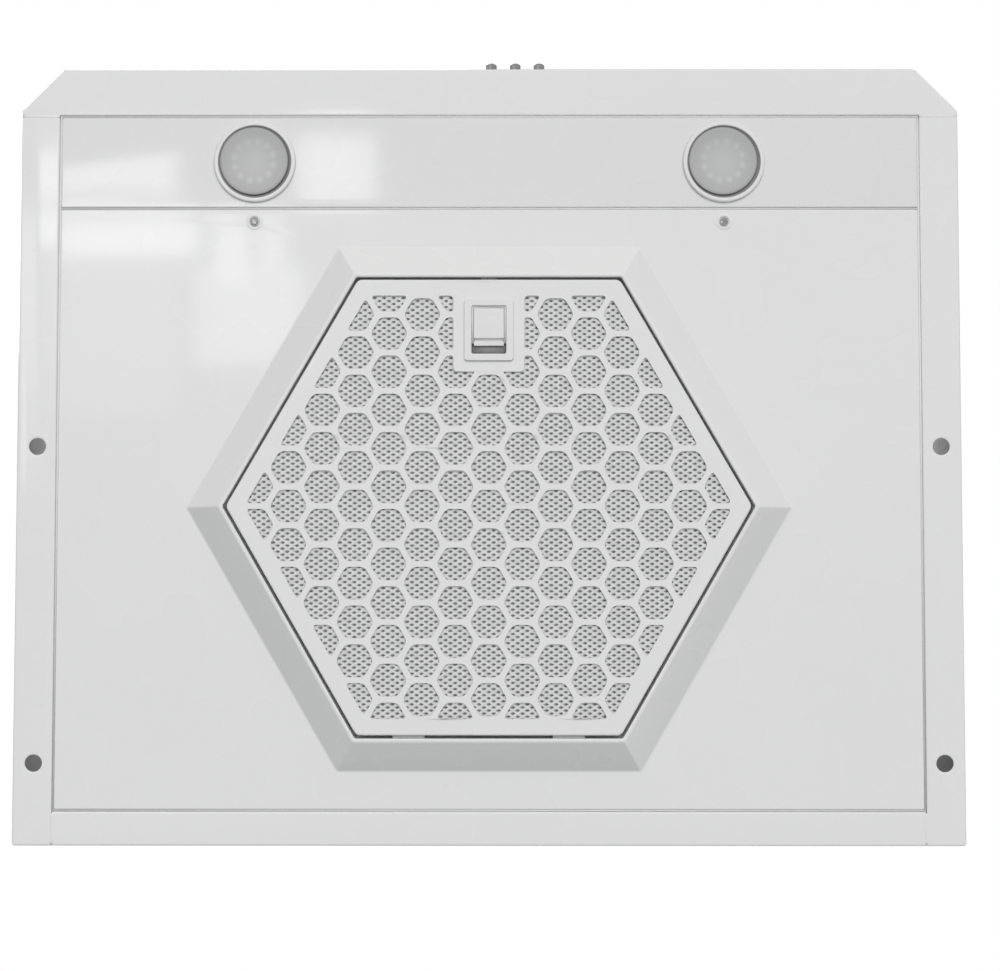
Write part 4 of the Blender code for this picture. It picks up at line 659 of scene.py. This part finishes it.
def filter_tabs(at):
    """Two tabs lanced out of the tray's rear wall."""
    rear, wall = at["rear"], TRAY_WALL
    z = at["low"] + 5 * MM
    outline = [
        (rear - 1.4 * MM, z + 3.2 * MM),
        (rear - 0.6 * MM, z + 3.2 * MM),
        (rear - 0.2 * MM, z + 1.2 * MM),
        (rear + 0.6 * MM, z + wall),
        (at["reach"], z + wall),
        (at["reach"], z),
        (rear - 0.2 * MM, z),
        (rear - 1.2 * MM, z + wall),
    ]
    for side in (-1, 1):
        x = side * TAB_SPREAD
        name = "filter_tab_left" if side < 0 else "filter_tab_right"
        mesh = prism_mesh(name, outline, x - TAB_WIDTH / 2, x + TAB_WIDTH / 2, "X")
        soften(piece(name, mesh, "filter", "white_enamel"), 0.15 * MM)


def strand_knots(at, shift):
    """The places where the strands of one sheet meet, inside the tray and clear of the latch."""
    flats = at["flats"] - 4 * MM
    reach_x = int(flats / COS30 / STRAND_LONG_WAY) + 2
    reach_y = int(flats / STRAND_SHORT_WAY) + 2
    knots = []
    for i in range(-reach_x, reach_x + 1):
        for j in range(-reach_y, reach_y + 1):
            if (i + j) % 2 == 0:
                x = i * STRAND_LONG_WAY / 2 + shift[0]
                knots.append((x, at["y"] + j * STRAND_SHORT_WAY / 2 + shift[1]))
    knots = np.array(knots)
    keep = np.ones(len(knots), bool)
    for i in range(6):
        angle = math.radians(30 + 60 * i)
        across = knots[:, 0] * math.cos(angle) + (knots[:, 1] - at["y"]) * math.sin(angle)
        keep &= across < flats / 2 - 2 * MM
    high = at["bezel"][1]
    beside = abs(knots[:, 0]) < high.x + LATCH_CLEARANCE
    keep &= ~(beside & (knots[:, 1] < high.y + LATCH_CLEARANCE))
    return knots[keep]


def strand_layer(name, at, z, shift, width, lean, material):
    """One sheet of expanded metal: strands that meet in staggered knuckles and lean out of the sheet."""
    knots = strand_knots(at, shift)
    steps = [np.array([STRAND_LONG_WAY / 2, way * STRAND_SHORT_WAY / 2]) for way in (-1, 1)]
    start = np.concatenate([knots, knots])
    end = np.concatenate([knots + step for step in steps])
    along = end - start
    across = np.stack([-along[:, 1], along[:, 0]], 1) / np.linalg.norm(along, axis=1)[:, None]
    sign = np.repeat([-1.0, 1.0], len(knots))
    rows = []
    for share, girth, lift in ((0.0, 1.5, 0.0), (0.28, 1.0, 1.0), (0.72, 1.0, 1.0), (1.0, 1.5, 0.0)):
        middle = start + along * share
        height = z + sign * lift * lean * 0.35
        half = across * width * girth / 2
        rise = np.abs(across[:, 1]) * lean
        for way, up in ((-1, 0), (1, 0), (1, STRAND_THICKNESS), (-1, STRAND_THICKNESS)):
            rows.append(np.column_stack([middle + half * way, height + rise * way + up]))
    points = np.stack(rows, 1).reshape(-1, 3)
    faces = []
    base = np.arange(len(start)) * 16
    for section in range(3):
        for side in range(4):
            a, b = section * 4 + side, section * 4 + (side + 1) % 4
            faces.append(np.column_stack([base + a, base + b, base + b + 4, base + a + 4]))
    mesh = bpy.data.meshes.new(name)
    mesh.from_pydata(points.tolist(), [], np.concatenate(faces).tolist())
    mesh.update()
    bm = bmesh.new()
    bm.from_mesh(mesh)
    bmesh.ops.recalc_face_normals(bm, faces=bm.faces)
    bm.to_mesh(mesh)
    bm.free()
    piece(name, mesh, "filter", "filter_aluminium", material)


def grease_mesh(at):
    """The pack: one open sheet in front of another that is painted dimmer as shade, and the deeper sheets as
    a slab painted dim as shade behind.
    """
    low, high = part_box("filter_mesh_pack")
    bezel_high = at["bezel"][1]
    notch = bezel_high.x + LATCH_CLEARANCE
    rear = bezel_high.y + LATCH_CLEARANCE
    flats = at["flats"] - 3 * MM
    outline = rounded(hexagon(flats, 0, at["y"]), 3 * MM)
    slab = prism_mesh("deep_mesh", outline, low.z + 2.4 * MM, high.z)
    way = block_mesh("way", (-notch, at["front"] - MM, low.z), (notch, rear, high.z + MM))
    deep = piece("deep_mesh", cut(slab, [way]), "filter", "filter_aluminium", shaded_aluminium())
    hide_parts("filter_mesh_pack")
    soften(deep, 0.3 * MM)
    # The second sheet is the same foil as the first, painted darker: painted shade.
    bright, second_sheet_shade = FINISHES["filter_aluminium"], second_sheet_painted_shade()
    shift = (1.1 * MM, 0.7 * MM)
    strand_layer("front_mesh", at, low.z + 0.45 * MM, (0, 0), 1.55 * MM, 0.22 * MM, bright)
    strand_layer("second_mesh", at, low.z + 1.65 * MM, shift, 1.10 * MM, 0.24 * MM, second_sheet_shade)


# ---------------------------------------------------------------- latch


def rounded_box(low, high, radius, steps=5):
    corners = [(low[0], low[1]), (high[0], low[1]), (high[0], high[1]), (low[0], high[1])]
    return rounded(corners, radius, steps)


def latch_opening():
    """The lower and upper corners of the opening in the latch's frame."""
    half_x, half_y = OPENING_HALF
    middle = centre_of("latch_bezel").y
    return (-half_x, middle - half_y), (half_x, middle + half_y)


def latch_frame(at):
    """The moulded frame, with a soft crowned rim round its opening and the slider's box behind."""
    low, high = at["bezel"]
    back = at["low"] - 0.3 * MM
    start, end = latch_opening()
    body = prism_mesh("latch_frame", rounded_box(low, high, 2.4 * MM), low.z, back)
    well = prism_mesh("well", rounded_box(start, end, 1.4 * MM), low.z - MM, high.z - MM)
    box = rounded_box(
        (start[0] - CASE_WALL, start[1] - CASE_WALL), (end[0] + CASE_WALL, end[1] + CASE_WALL), 1 * MM
    )
    case = prism_mesh("case", box, back - 0.2 * MM, high.z)
    window = [at["low"] + height for height in TONGUE_WINDOW]
    half = TONGUE_WAY / 2
    way = block_mesh("way", (-half, low.y - 5 * MM, window[0]), (half, low.y + 9 * MM, window[1]))
    frame_piece = piece(
        "latch_frame", cut(body, [well]), "filter", "white_plastic", stands_for=["latch_bezel"]
    )
    soften(frame_piece, 0.45 * MM, 3)
    latch_pocket(start, end)
    case_piece = piece("latch_case", cut(case, [well, way]), "filter", "white_plastic")
    soften(case_piece, 0.12 * MM)


def latch_pocket(start, end):
    """The floor of the finger pocket, white plastic painted dim grey as the shade in the pocket, and the pale
    shelf that the paddle slides along.
    """
    low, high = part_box("latch_slider")
    half = end[0] - 0.2 * MM
    depth = low.z + 3.15 * MM
    floor = block_mesh("pocket_floor", (-half, end[1] - 6.4 * MM, depth), (half, end[1], depth + 0.25 * MM))
    # The pocket floor is painted grey: painted shade in the recess.
    piece("latch_pocket_floor_painted_shade", floor, "filter", "white_plastic", FINISHES["painted_shade_grey"])
    half = end[0] - 0.1 * MM
    side, near = high.x + 0.1 * MM, start[1] + 1.35 * MM
    rear, front = end[1] - 6.6 * MM, start[1] + 0.1 * MM
    outline = [(-half, rear), (-half, front), (half, front), (half, rear)]
    outline += [(side, rear), (side, near), (-side, near), (-side, rear)]
    shelf = prism_mesh("latch_shelf", outline, low.z + 0.9 * MM, low.z + 1.2 * MM)
    piece("latch_shelf", shelf, "filter", "white_plastic", FINISHES["gap_foam"])


def latch_paddle():
    """The finger paddle with its stepped lip, and the tongue that crosses the tray's wall."""
    low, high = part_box("latch_slider")
    front = centre_of("latch_bezel").y - PADDLE_LEAD
    rear = front + PADDLE_LENGTH
    face = low.z
    outline = [
        (front, face + 0.5 * MM),
        (front + 0.5 * MM, face),
        (rear - 0.5 * MM, face),
        (rear, face + 0.4 * MM),
        (rear + 0.2 * MM, face + 2.3 * MM),
        (rear + 1.9 * MM, face + 2.4 * MM),
        (rear + 2.2 * MM, face + 1.2 * MM),
        (rear + 4.3 * MM, face + 1.2 * MM),
        (rear + 4.6 * MM, face + 1.5 * MM),
        (rear + 4.6 * MM, face + 3.0 * MM),
        (front + 10.5 * MM, face + 3.0 * MM),
        (front + 10.5 * MM, high.z),
        (front, high.z),
    ]
    paddle = prism_mesh("latch_paddle", outline, low.x, high.x, "X")
    obj = piece("latch_paddle", paddle, "latch", "white_plastic", stands_for=["latch_slider"])
    soften(obj, 0.25 * MM, 3, 40)
    half = 5 * MM
    tongue = block_mesh(
        "latch_tongue", (-half, low.y, high.z - 1.9 * MM), (half, front + MM, high.z - 0.3 * MM)
    )
    soften(piece("latch_tongue", tongue, "latch", "white_plastic"), 0.3 * MM, 3)


# ---------------------------------------------------------------- lamps


def lamp(side):
    """A domed ring, a rim painted grey as shade, and a frosted lens with the spots of twelve chips and
    painted shade at its edge and front.
    """
    word = "left" if side < 0 else "right"
    low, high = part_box("lamp_bezel_" + word)
    x, y = (low.x + high.x) / 2, (low.y + high.y) / 2
    place = Matrix.Translation((x, y, 0))
    outer = (high.x - low.x) / 2
    back, face = low.z + 1.7 * MM, low.z
    bore, barrel = LAMP_BORE, LAMP_BARREL
    profile = [(outer, back)]
    profile += arc((outer - 1.3 * MM, face + 1.3 * MM), 1.3 * MM, 0, -90, 6)
    profile += arc((bore + 0.7 * MM, face + 0.7 * MM), 0.7 * MM, -90, -180, 5)
    profile += [(bore, high.z), (barrel, high.z), (barrel, back)]
    ring = turned_mesh("lamp_ring_" + word, profile, place, closed=True)
    obj = piece("lamp_ring_" + word, ring, "hood", "white_plastic", stands_for=["lamp_bezel_" + word])
    soften(obj, 0.05 * MM, 1, 60)
    rim = [(bore - 0.05 * MM, face + 1.2 * MM), (bore - 0.05 * MM, face + 3.2 * MM)]
    rim += [(19.5 * MM, face + 3.2 * MM), (19.5 * MM, face + 2.6 * MM), (bore - 1.2 * MM, face + 2.2 * MM)]
    rim += [(bore - 0.5 * MM, face + 1.3 * MM)]
    seat = turned_mesh("lamp_rim_" + word, rim, place, closed=True)
    # The rim is painted grey: painted shade of the ring's inner wall.
    piece("lamp_rim_" + word, seat, "hood", "frosted_lens", FINISHES["painted_shade_grey"])
    lamp_lens(word, x - 0.5 * MM, y - 0.5 * MM, face + 1.6 * MM)


def lamp_lens(word, x, y, face):
    """The lens as rings of points, each with the tone of the chips behind it and of the painted light and
    shade.
    """
    radius, rings, segments = LENS_RADIUS, 44, 120
    points, lens_tone = [(0, 0, 0)], [0.55]
    for ring in range(1, rings + 1):
        r = radius * ring / rings
        drop = 0.5 * MM * max(0.0, (r - radius * 0.94) / (radius * 0.06)) ** 2
        for i in range(segments):
            angle = 2 * math.pi * i / segments
            u, v = r * math.cos(angle), r * math.sin(angle)
            points.append((u, v, drop))
            lens_tone.append(chip_spots_and_painted_shading(u, v, r / radius))
    faces = [(0, 1 + (i + 1) % segments, 1 + i) for i in range(segments)]
    for ring in range(rings - 1):
        here, there = 1 + ring * segments, 1 + (ring + 1) * segments
        for i in range(segments):
            k = (i + 1) % segments
            faces.append((here + i, here + k, there + k, there + i))
    mesh = mesh_of("lamp_glass_" + word, points, faces)
    stored = mesh.attributes.new("chip_spots_and_painted_shading", "FLOAT", "POINT")
    stored.data.foreach_set("value", lens_tone)
    mesh.transform(Matrix.Translation((x, y, face)))
    glass = piece("lamp_glass_" + word, mesh, "hood", "frosted_lens", stands_for=["lamp_lens_" + word])
    solid = glass.modifiers.new("glass", "SOLIDIFY")
    solid.thickness = 1.2 * MM
    solid.offset = 1


def chip_spots_and_painted_shading(u, v, share):
    """How light the lens is at a place: a paler middle, painted shade at the edge and towards the front, and
    twelve soft spots of the chips, painted brighter towards the rear.
    """
    # The lens is painted darker towards its edge and towards the front: painted shade from the ring.
    found = 0.52 * math.exp(-((share / 0.75) ** 2)) + 0.12 * v / LENS_RADIUS
    for i in range(CHIP_COUNT):
        angle = 2 * math.pi * i / CHIP_COUNT + 0.2
        du, dv = u - CHIP_CIRCLE * math.cos(angle), v - CHIP_CIRCLE * math.sin(angle)
        # The chips towards the rear are painted brighter: painted light.
        strength = 0.34 + 0.10 * math.sin(angle)
        found += strength * math.exp(-(du * du + dv * dv) / (2 * CHIP_SPREAD**2))
    return max(0.0, min(1.0, found))


# ---------------------------------------------------------------- screws, buttons, seams


def cross_cutter(arm, low, high, turn, matrix):
    """A solid cross that cuts a screw's recess."""
    half = arm * 0.2
    outline = [(arm, half), (half, half), (half, arm), (-half, arm), (-half, half), (-arm, half)]
    outline += [(-u, -v) for u, v in outline]
    mesh = prism_mesh("cross", outline, low, high)
    mesh.transform(matrix @ Matrix.Rotation(turn, 4, "Z"))
    return mesh


def cross_screw(node, direction, turn):
    """A pan head screw with a tapered cross recess. Its head looks along the direction."""
    low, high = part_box(node)
    middle = (low + high) / 2
    if direction.z:
        face = Vector((middle.x, middle.y, low.z))
        radius = 0.80 * (high.x - low.x) / 2
        length = high.z - low.z
    else:
        face = Vector((middle.x, high.y, middle.z))
        radius = (high.x - low.x) / 2
        length = high.y - low.y
    matrix = Matrix.Translation(face) @ direction.to_track_quat("Z", "Y").to_matrix().to_4x4()
    thread, turns_down = 1.8 * MM, 8
    crown = ((0.35, 0.02), (0.62, 0.12), (0.82, 0.32), (0.94, 0.58), (1.0, 0.90), (1.0, 1.1))
    profile = [(0, 0), *((radius * share, -drop * MM) for share, drop in crown), (thread, -1.1 * MM)]
    for i in range(turns_down):
        z = -1.4 * MM - i * (length - 2.4 * MM) / turns_down
        profile += [(thread, z), (thread * 0.74, z - 0.35 * MM)]
    profile += [(0.4 * MM, -length + 0.1 * MM), (0, -length)]
    mesh = turned_mesh(node + "_cross", profile, matrix, 48)
    cutter = cross_cutter(radius * 0.56, -0.75 * MM, 0.6 * MM, turn, matrix)
    obj = piece(node + "_cross", cut(mesh, [cutter]), "hood", "screw_steel", stands_for=[node])
    soften(obj, 0.05 * MM, 1, 40)


def screw_dimple(node, name):
    """The raised ring pressed round a panel screw."""
    low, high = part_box(node)
    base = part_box("light_panel")[0].z
    place = Matrix.Translation(((low.x + high.x) / 2, (low.y + high.y) / 2, base))
    profile = [(5.7, 0.02), (5.4, -0.02), (5.0, -0.14), (4.5, -0.30)]
    profile += [(4.0, -0.34), (3.6, -0.24), (3.3, -0.02), (3.2, 0.05)]
    mesh = turned_mesh(name, [(r * MM, z * MM) for r, z in profile], place, 64, closed=True)
    piece(name, mesh, "hood", "white_enamel")


def domed_button(node, body):
    """A push button with a shallow dome, a collar behind the fascia and a stem."""
    low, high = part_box(node)
    centre = (low + high) / 2
    radius, length = 3.75 * MM, high.y - low.y
    collar, stem, dome = (high.x - low.x) / 2, 2.0 * MM, 4.05 * MM
    matrix = Matrix.Translation((centre.x, low.y, centre.z)) @ Matrix.Rotation(math.radians(90), 4, "X")
    profile = [(0, 0)]
    for i in range(1, 9):
        angle = math.radians(62 * i / 8)
        profile.append((dome * math.sin(angle), -dome * (1 - math.cos(angle)) * 0.62))
    profile += [(radius, -1.6 * MM), (radius, -8.4 * MM), (collar, -8.6 * MM), (collar, -9.6 * MM)]
    profile += [(stem, -9.8 * MM), (stem, -length + 0.3 * MM), (stem - 0.3 * MM, -length), (0, -length)]
    mesh = turned_mesh(node + "_cap", profile, matrix, 64)
    soften(piece(node + "_cap", mesh, body, "button_metal", stands_for=[node]), 0.06 * MM, 1, 50)


def seam_fill():
    """Ground and enamelled weld beads that close the joints of the bottom frame."""
    side_low, side_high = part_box("right_side_panel")
    back_low, back_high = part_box("back_panel")
    base = side_low.z
    half, proud, steps = 0.9 * MM, 0.05 * MM, 12
    shares = (-1.0, -0.6, -0.2, 0.2, 0.6, 1.0)
    lines = []
    for side in (-1, 1):
        x_in, x_out = side * side_low.x, side * (side_high.x - 1.2 * MM)
        lines.append(((x_in, side_low.y - 0.15 * MM), (x_out, side_low.y - 0.15 * MM)))
        x = side * (side_low.x - 0.15 * MM)
        lines.append(((x, back_low.y + 1.2 * MM), (x, back_high.y - 1.2 * MM)))
    for number, (start, end) in enumerate(lines, 1):
        start, end = Vector((*start, base)), Vector((*end, base))
        along = (end - start).normalized()
        across = Vector((-along.y, along.x, 0))
        rows = []
        for share in shares:
            drop = proud * (1 - share * share)
            offset = across * half * share - Vector((0, 0, drop))
            rows.append([start.lerp(end, k / steps) + offset for k in range(steps + 1)])
        points = [p for row in rows for p in row]
        count = steps + 1
        faces = [
            (r * count + k, r * count + k + 1, (r + 1) * count + k + 1, (r + 1) * count + k)
            for r in range(len(shares) - 1)
            for k in range(steps)
        ]
        mesh = mesh_of(f"seam_{number}", points, faces)
        bm = bmesh.new()
        bm.from_mesh(mesh)
        bm.normal_update()
        if next(iter(bm.faces)).normal.z > 0:
            bmesh.ops.reverse_faces(bm, faces=bm.faces)
        bm.to_mesh(mesh)
        bm.free()
        obj = piece(f"seam_{number}", mesh, "hood", "white_enamel")
        solid = obj.modifiers.new("fill", "SOLIDIFY")
        solid.thickness = 0.15 * MM
        solid.offset = -1


def gap_seals():
    """Pale foam in the gaps round the light panel and the bottom panel, just above the faces."""
    light_low, light_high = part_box("light_panel")
    panel_low, panel_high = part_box("bottom_panel")
    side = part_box("right_side_panel")[0].x
    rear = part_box("back_panel")[0].y
    front = light_low.y - (side - light_high.x)
    low, high, spare = light_low.z + 1.0 * MM, light_low.z + 1.8 * MM, 0.05 * MM
    across = light_high.x
    rows = [(front, light_low.y), (light_high.y, panel_low.y), (panel_high.y, rear)]
    boxes = [((-across, a + spare), (across, b - spare)) for a, b in rows]
    for word in (-1, 1):
        x = sorted((word * (across + spare), word * (side - spare)))
        boxes.append(((x[0], front + spare), (x[1], rear - spare)))
    for number, (start, end) in enumerate(boxes, 1):
        mesh = block_mesh(f"gap_seal_{number}", (*start, low), (*end, high))
        piece(f"gap_seal_{number}", mesh, "hood", "white_enamel", FINISHES["gap_foam"])


# ---------------------------------------------------------------- carried over nodes


def finish_nodes():
    """Gives each CAD node its slot's finish and soft sheet edges."""
    slots = {row["node"]: row["material_slot"] for row in frame["record"]["subparts"]}
    for name, obj in frame["nodes"].items():
        slot_name = slots[name]
        obj.data.materials.clear()
        # The light panel takes the darker copy of the white enamel: painted shade.
        obj.data.materials.append(FINISHES["light_panel_shaded_enamel" if name == "light_panel" else slot_name])
        stored = obj.data.attributes.get("custom_normal")
        if stored:
            obj.data.attributes.remove(stored)
        smoothed(obj.data)
        weld = obj.modifiers.new("joined", "WELD")
        weld.merge_threshold = 0.00001
        soften(obj, 0.14 * MM, 2, 32)


# ---------------------------------------------------------------- stage


def add_camera():
    """The camera under the hood, almost straight below it, looking up."""
    turn = Matrix.Identity(3)
    for axis, angle in CAMERA_TURN.items():
        turn = turn @ Matrix.Rotation(angle, 3, axis)
    right, up, ahead = (turn @ Vector(way) for way in ((1, 0, 0), (0, -1, 0), (0, 0, 1)))
    data = bpy.data.cameras.new("camera")
    data.sensor_width = 36
    data.lens = CAMERA_LENS
    data.clip_start, data.clip_end = 0.01, 100
    camera = bpy.data.objects.new("camera", data)
    bpy.context.scene.collection.objects.link(camera)
    matrix = Matrix((right, up, -ahead)).transposed().to_4x4()
    matrix.translation = CAMERA_PLACE
    camera.matrix_world = matrix
    bpy.context.scene.camera = camera


def add_floor():
    """A plain pale floor. Only the camera sees it, so the light from below reaches the hood."""
    corners = [(-1, -1), (1, -1), (1, 1), (-1, 1)]
    points = [(FLOOR_REACH * u, FLOOR_REACH * v, FLOOR_HEIGHT) for u, v in corners]
    mesh = mesh_of("floor", points, [(0, 1, 2, 3)])
    made = Finish("floor", {"Roughness": 0.9, "Specular IOR Level": 0.1})
    made.colour(made.blend(made.noise(0.6, 2), *greys(0.86, 0.84)))
    mesh.materials.append(made.material)
    floor = bpy.data.objects.new("floor", mesh)
    bpy.context.scene.collection.objects.link(floor)
    for way in ("diffuse", "glossy", "transmission", "shadow"):
        setattr(floor, "visible_" + way, False)


def add_sun(name, towards, strength, angle, glossy=True):
    """Soft studio light from a direction."""
    data = bpy.data.lights.new(name, "SUN")
    data.energy = strength
    data.angle = math.radians(angle)
    light = bpy.data.objects.new(name, data)
    bpy.context.scene.collection.objects.link(light)
    light.rotation_mode = "QUATERNION"
    light.rotation_quaternion = Vector(towards).to_track_quat("Z", "Y")
    light.visible_glossy = glossy


def add_area(name, low, high, z, radiance):
    """A flat light that faces up, over a rectangle."""
    data = bpy.data.lights.new(name, "AREA")
    data.shape = "RECTANGLE"
    data.size, data.size_y = high[0] - low[0], high[1] - low[1]
    data.energy = radiance * math.pi * data.size * data.size_y
    light = bpy.data.objects.new(name, data)
    bpy.context.scene.collection.objects.link(light)
    light.location = ((low[0] + high[0]) / 2, (low[1] + high[1]) / 2, z)
    light.rotation_euler = (math.pi, 0, 0)
    light.visible_camera = False
    return light


def add_pane(name, low, high, radiance):
    """A soft light below the hood that shows as a bright patch in its gloss."""
    add_area(name, low, high, PANE_HEIGHT, radiance).visible_diffuse = False


def add_inner_light():
    """A weak light inside the hood, so that its gaps and holes aren't black."""
    add_area("inner", (-0.27, -0.20), (0.27, 0.20), -0.100, 0.40).visible_glossy = False


def add_world():
    """White behind the object, and an even, slightly warmer front for its light."""
    world = bpy.data.worlds.new("studio")
    bpy.context.scene.world = world
    world.use_nodes = True
    nodes, links = world.node_tree.nodes, world.node_tree.links
    nodes.clear()
    place = nodes.new("ShaderNodeTexCoord").outputs["Generated"]
    split = nodes.new("ShaderNodeSeparateXYZ")
    links.new(place, split.inputs["Vector"])
    spread = nodes.new("ShaderNodeMapRange")
    links.new(split.outputs["Y"], spread.inputs["Value"])
    spread.inputs["From Min"].default_value = -0.8
    spread.inputs["From Max"].default_value = 0.8
    ramp = nodes.new("ShaderNodeValToRGB")
    ramp.color_ramp.elements[0].color = (0.42, 0.42, 0.415, 1)
    ramp.color_ramp.elements[1].color = (0.30, 0.305, 0.315, 1)
    links.new(spread.outputs["Result"], ramp.inputs["Fac"])
    lit, seen = nodes.new("ShaderNodeBackground"), nodes.new("ShaderNodeBackground")
    links.new(ramp.outputs["Color"], lit.inputs["Color"])
    seen.inputs["Color"].default_value = (1, 1, 1, 1)
    mix, path = nodes.new("ShaderNodeMixShader"), nodes.new("ShaderNodeLightPath")
    links.new(path.outputs["Is Camera Ray"], mix.inputs["Fac"])
    links.new(lit.outputs["Background"], mix.inputs[1])
    links.new(seen.outputs["Background"], mix.inputs[2])
    links.new(mix.outputs["Shader"], nodes.new("ShaderNodeOutputWorld").inputs["Surface"])


def light_the_stage():
    """Soft light from below and above, and panes for the gloss, as x_low, y_low, x_high, y_high, radiance."""
    add_world()
    add_sun("key_below", (0.10, -0.45, -0.88), 1.86, 50, glossy=False)
    add_sun("key_above", (-0.35, -0.45, 0.82), 1.5, 40)
    add_sun("fill_behind", (0.5, 0.8, 0.4), 0.8, 60)
    panes = (
        (-0.600, -0.500, -0.430, -0.432, 4.1),
        (-0.600, -0.417, -0.406, -0.366, 4.6),
        (-0.382, -0.413, -0.338, -0.330, 4.2),
        (-0.321, -0.413, -0.290, -0.345, 3.6),
        (-0.270, -0.522, -0.165, -0.424, 4.2),
        (-0.410, -0.350, -0.264, -0.215, 2.4),
        (-0.600, -0.355, -0.430, -0.150, 0.8),
        (-0.720, -0.420, -0.625, -0.050, 2.0),
    )
    for number, (x_low, y_low, x_high, y_high, radiance) in enumerate(panes):
        add_pane(f"pane_{number}", (x_low, y_low), (x_high, y_high), radiance)
    add_inner_light()
    bpy.context.scene.view_settings.view_transform = "Standard"


FINISHES = finishes()
finish_nodes()
filter_at = filter_places()
face_plate(filter_at)
filter_tabs(filter_at)
grease_mesh(filter_at)
latch_frame(filter_at)
latch_paddle()
for lamp_side in (-1, 1):
    lamp(lamp_side)
cross_screw("bottom_panel_screw_left", Vector((0, 0, -1)), 0.35)
cross_screw("bottom_panel_screw_right", Vector((0, 0, -1)), 1.1)
cross_screw("outlet_screw_left", Vector((0, 1, 0)), 0.6)
cross_screw("outlet_screw_right", Vector((0, 1, 0)), 0.1)
for number, word in enumerate(("left", "middle", "right"), 1):
    domed_button(f"button_{number}", "button_" + word)
screw_dimple("bottom_panel_screw_left", "screw_dimple_left")
screw_dimple("bottom_panel_screw_right", "screw_dimple_right")
seam_fill()
gap_seals()
add_floor()
add_camera()
light_the_stage()
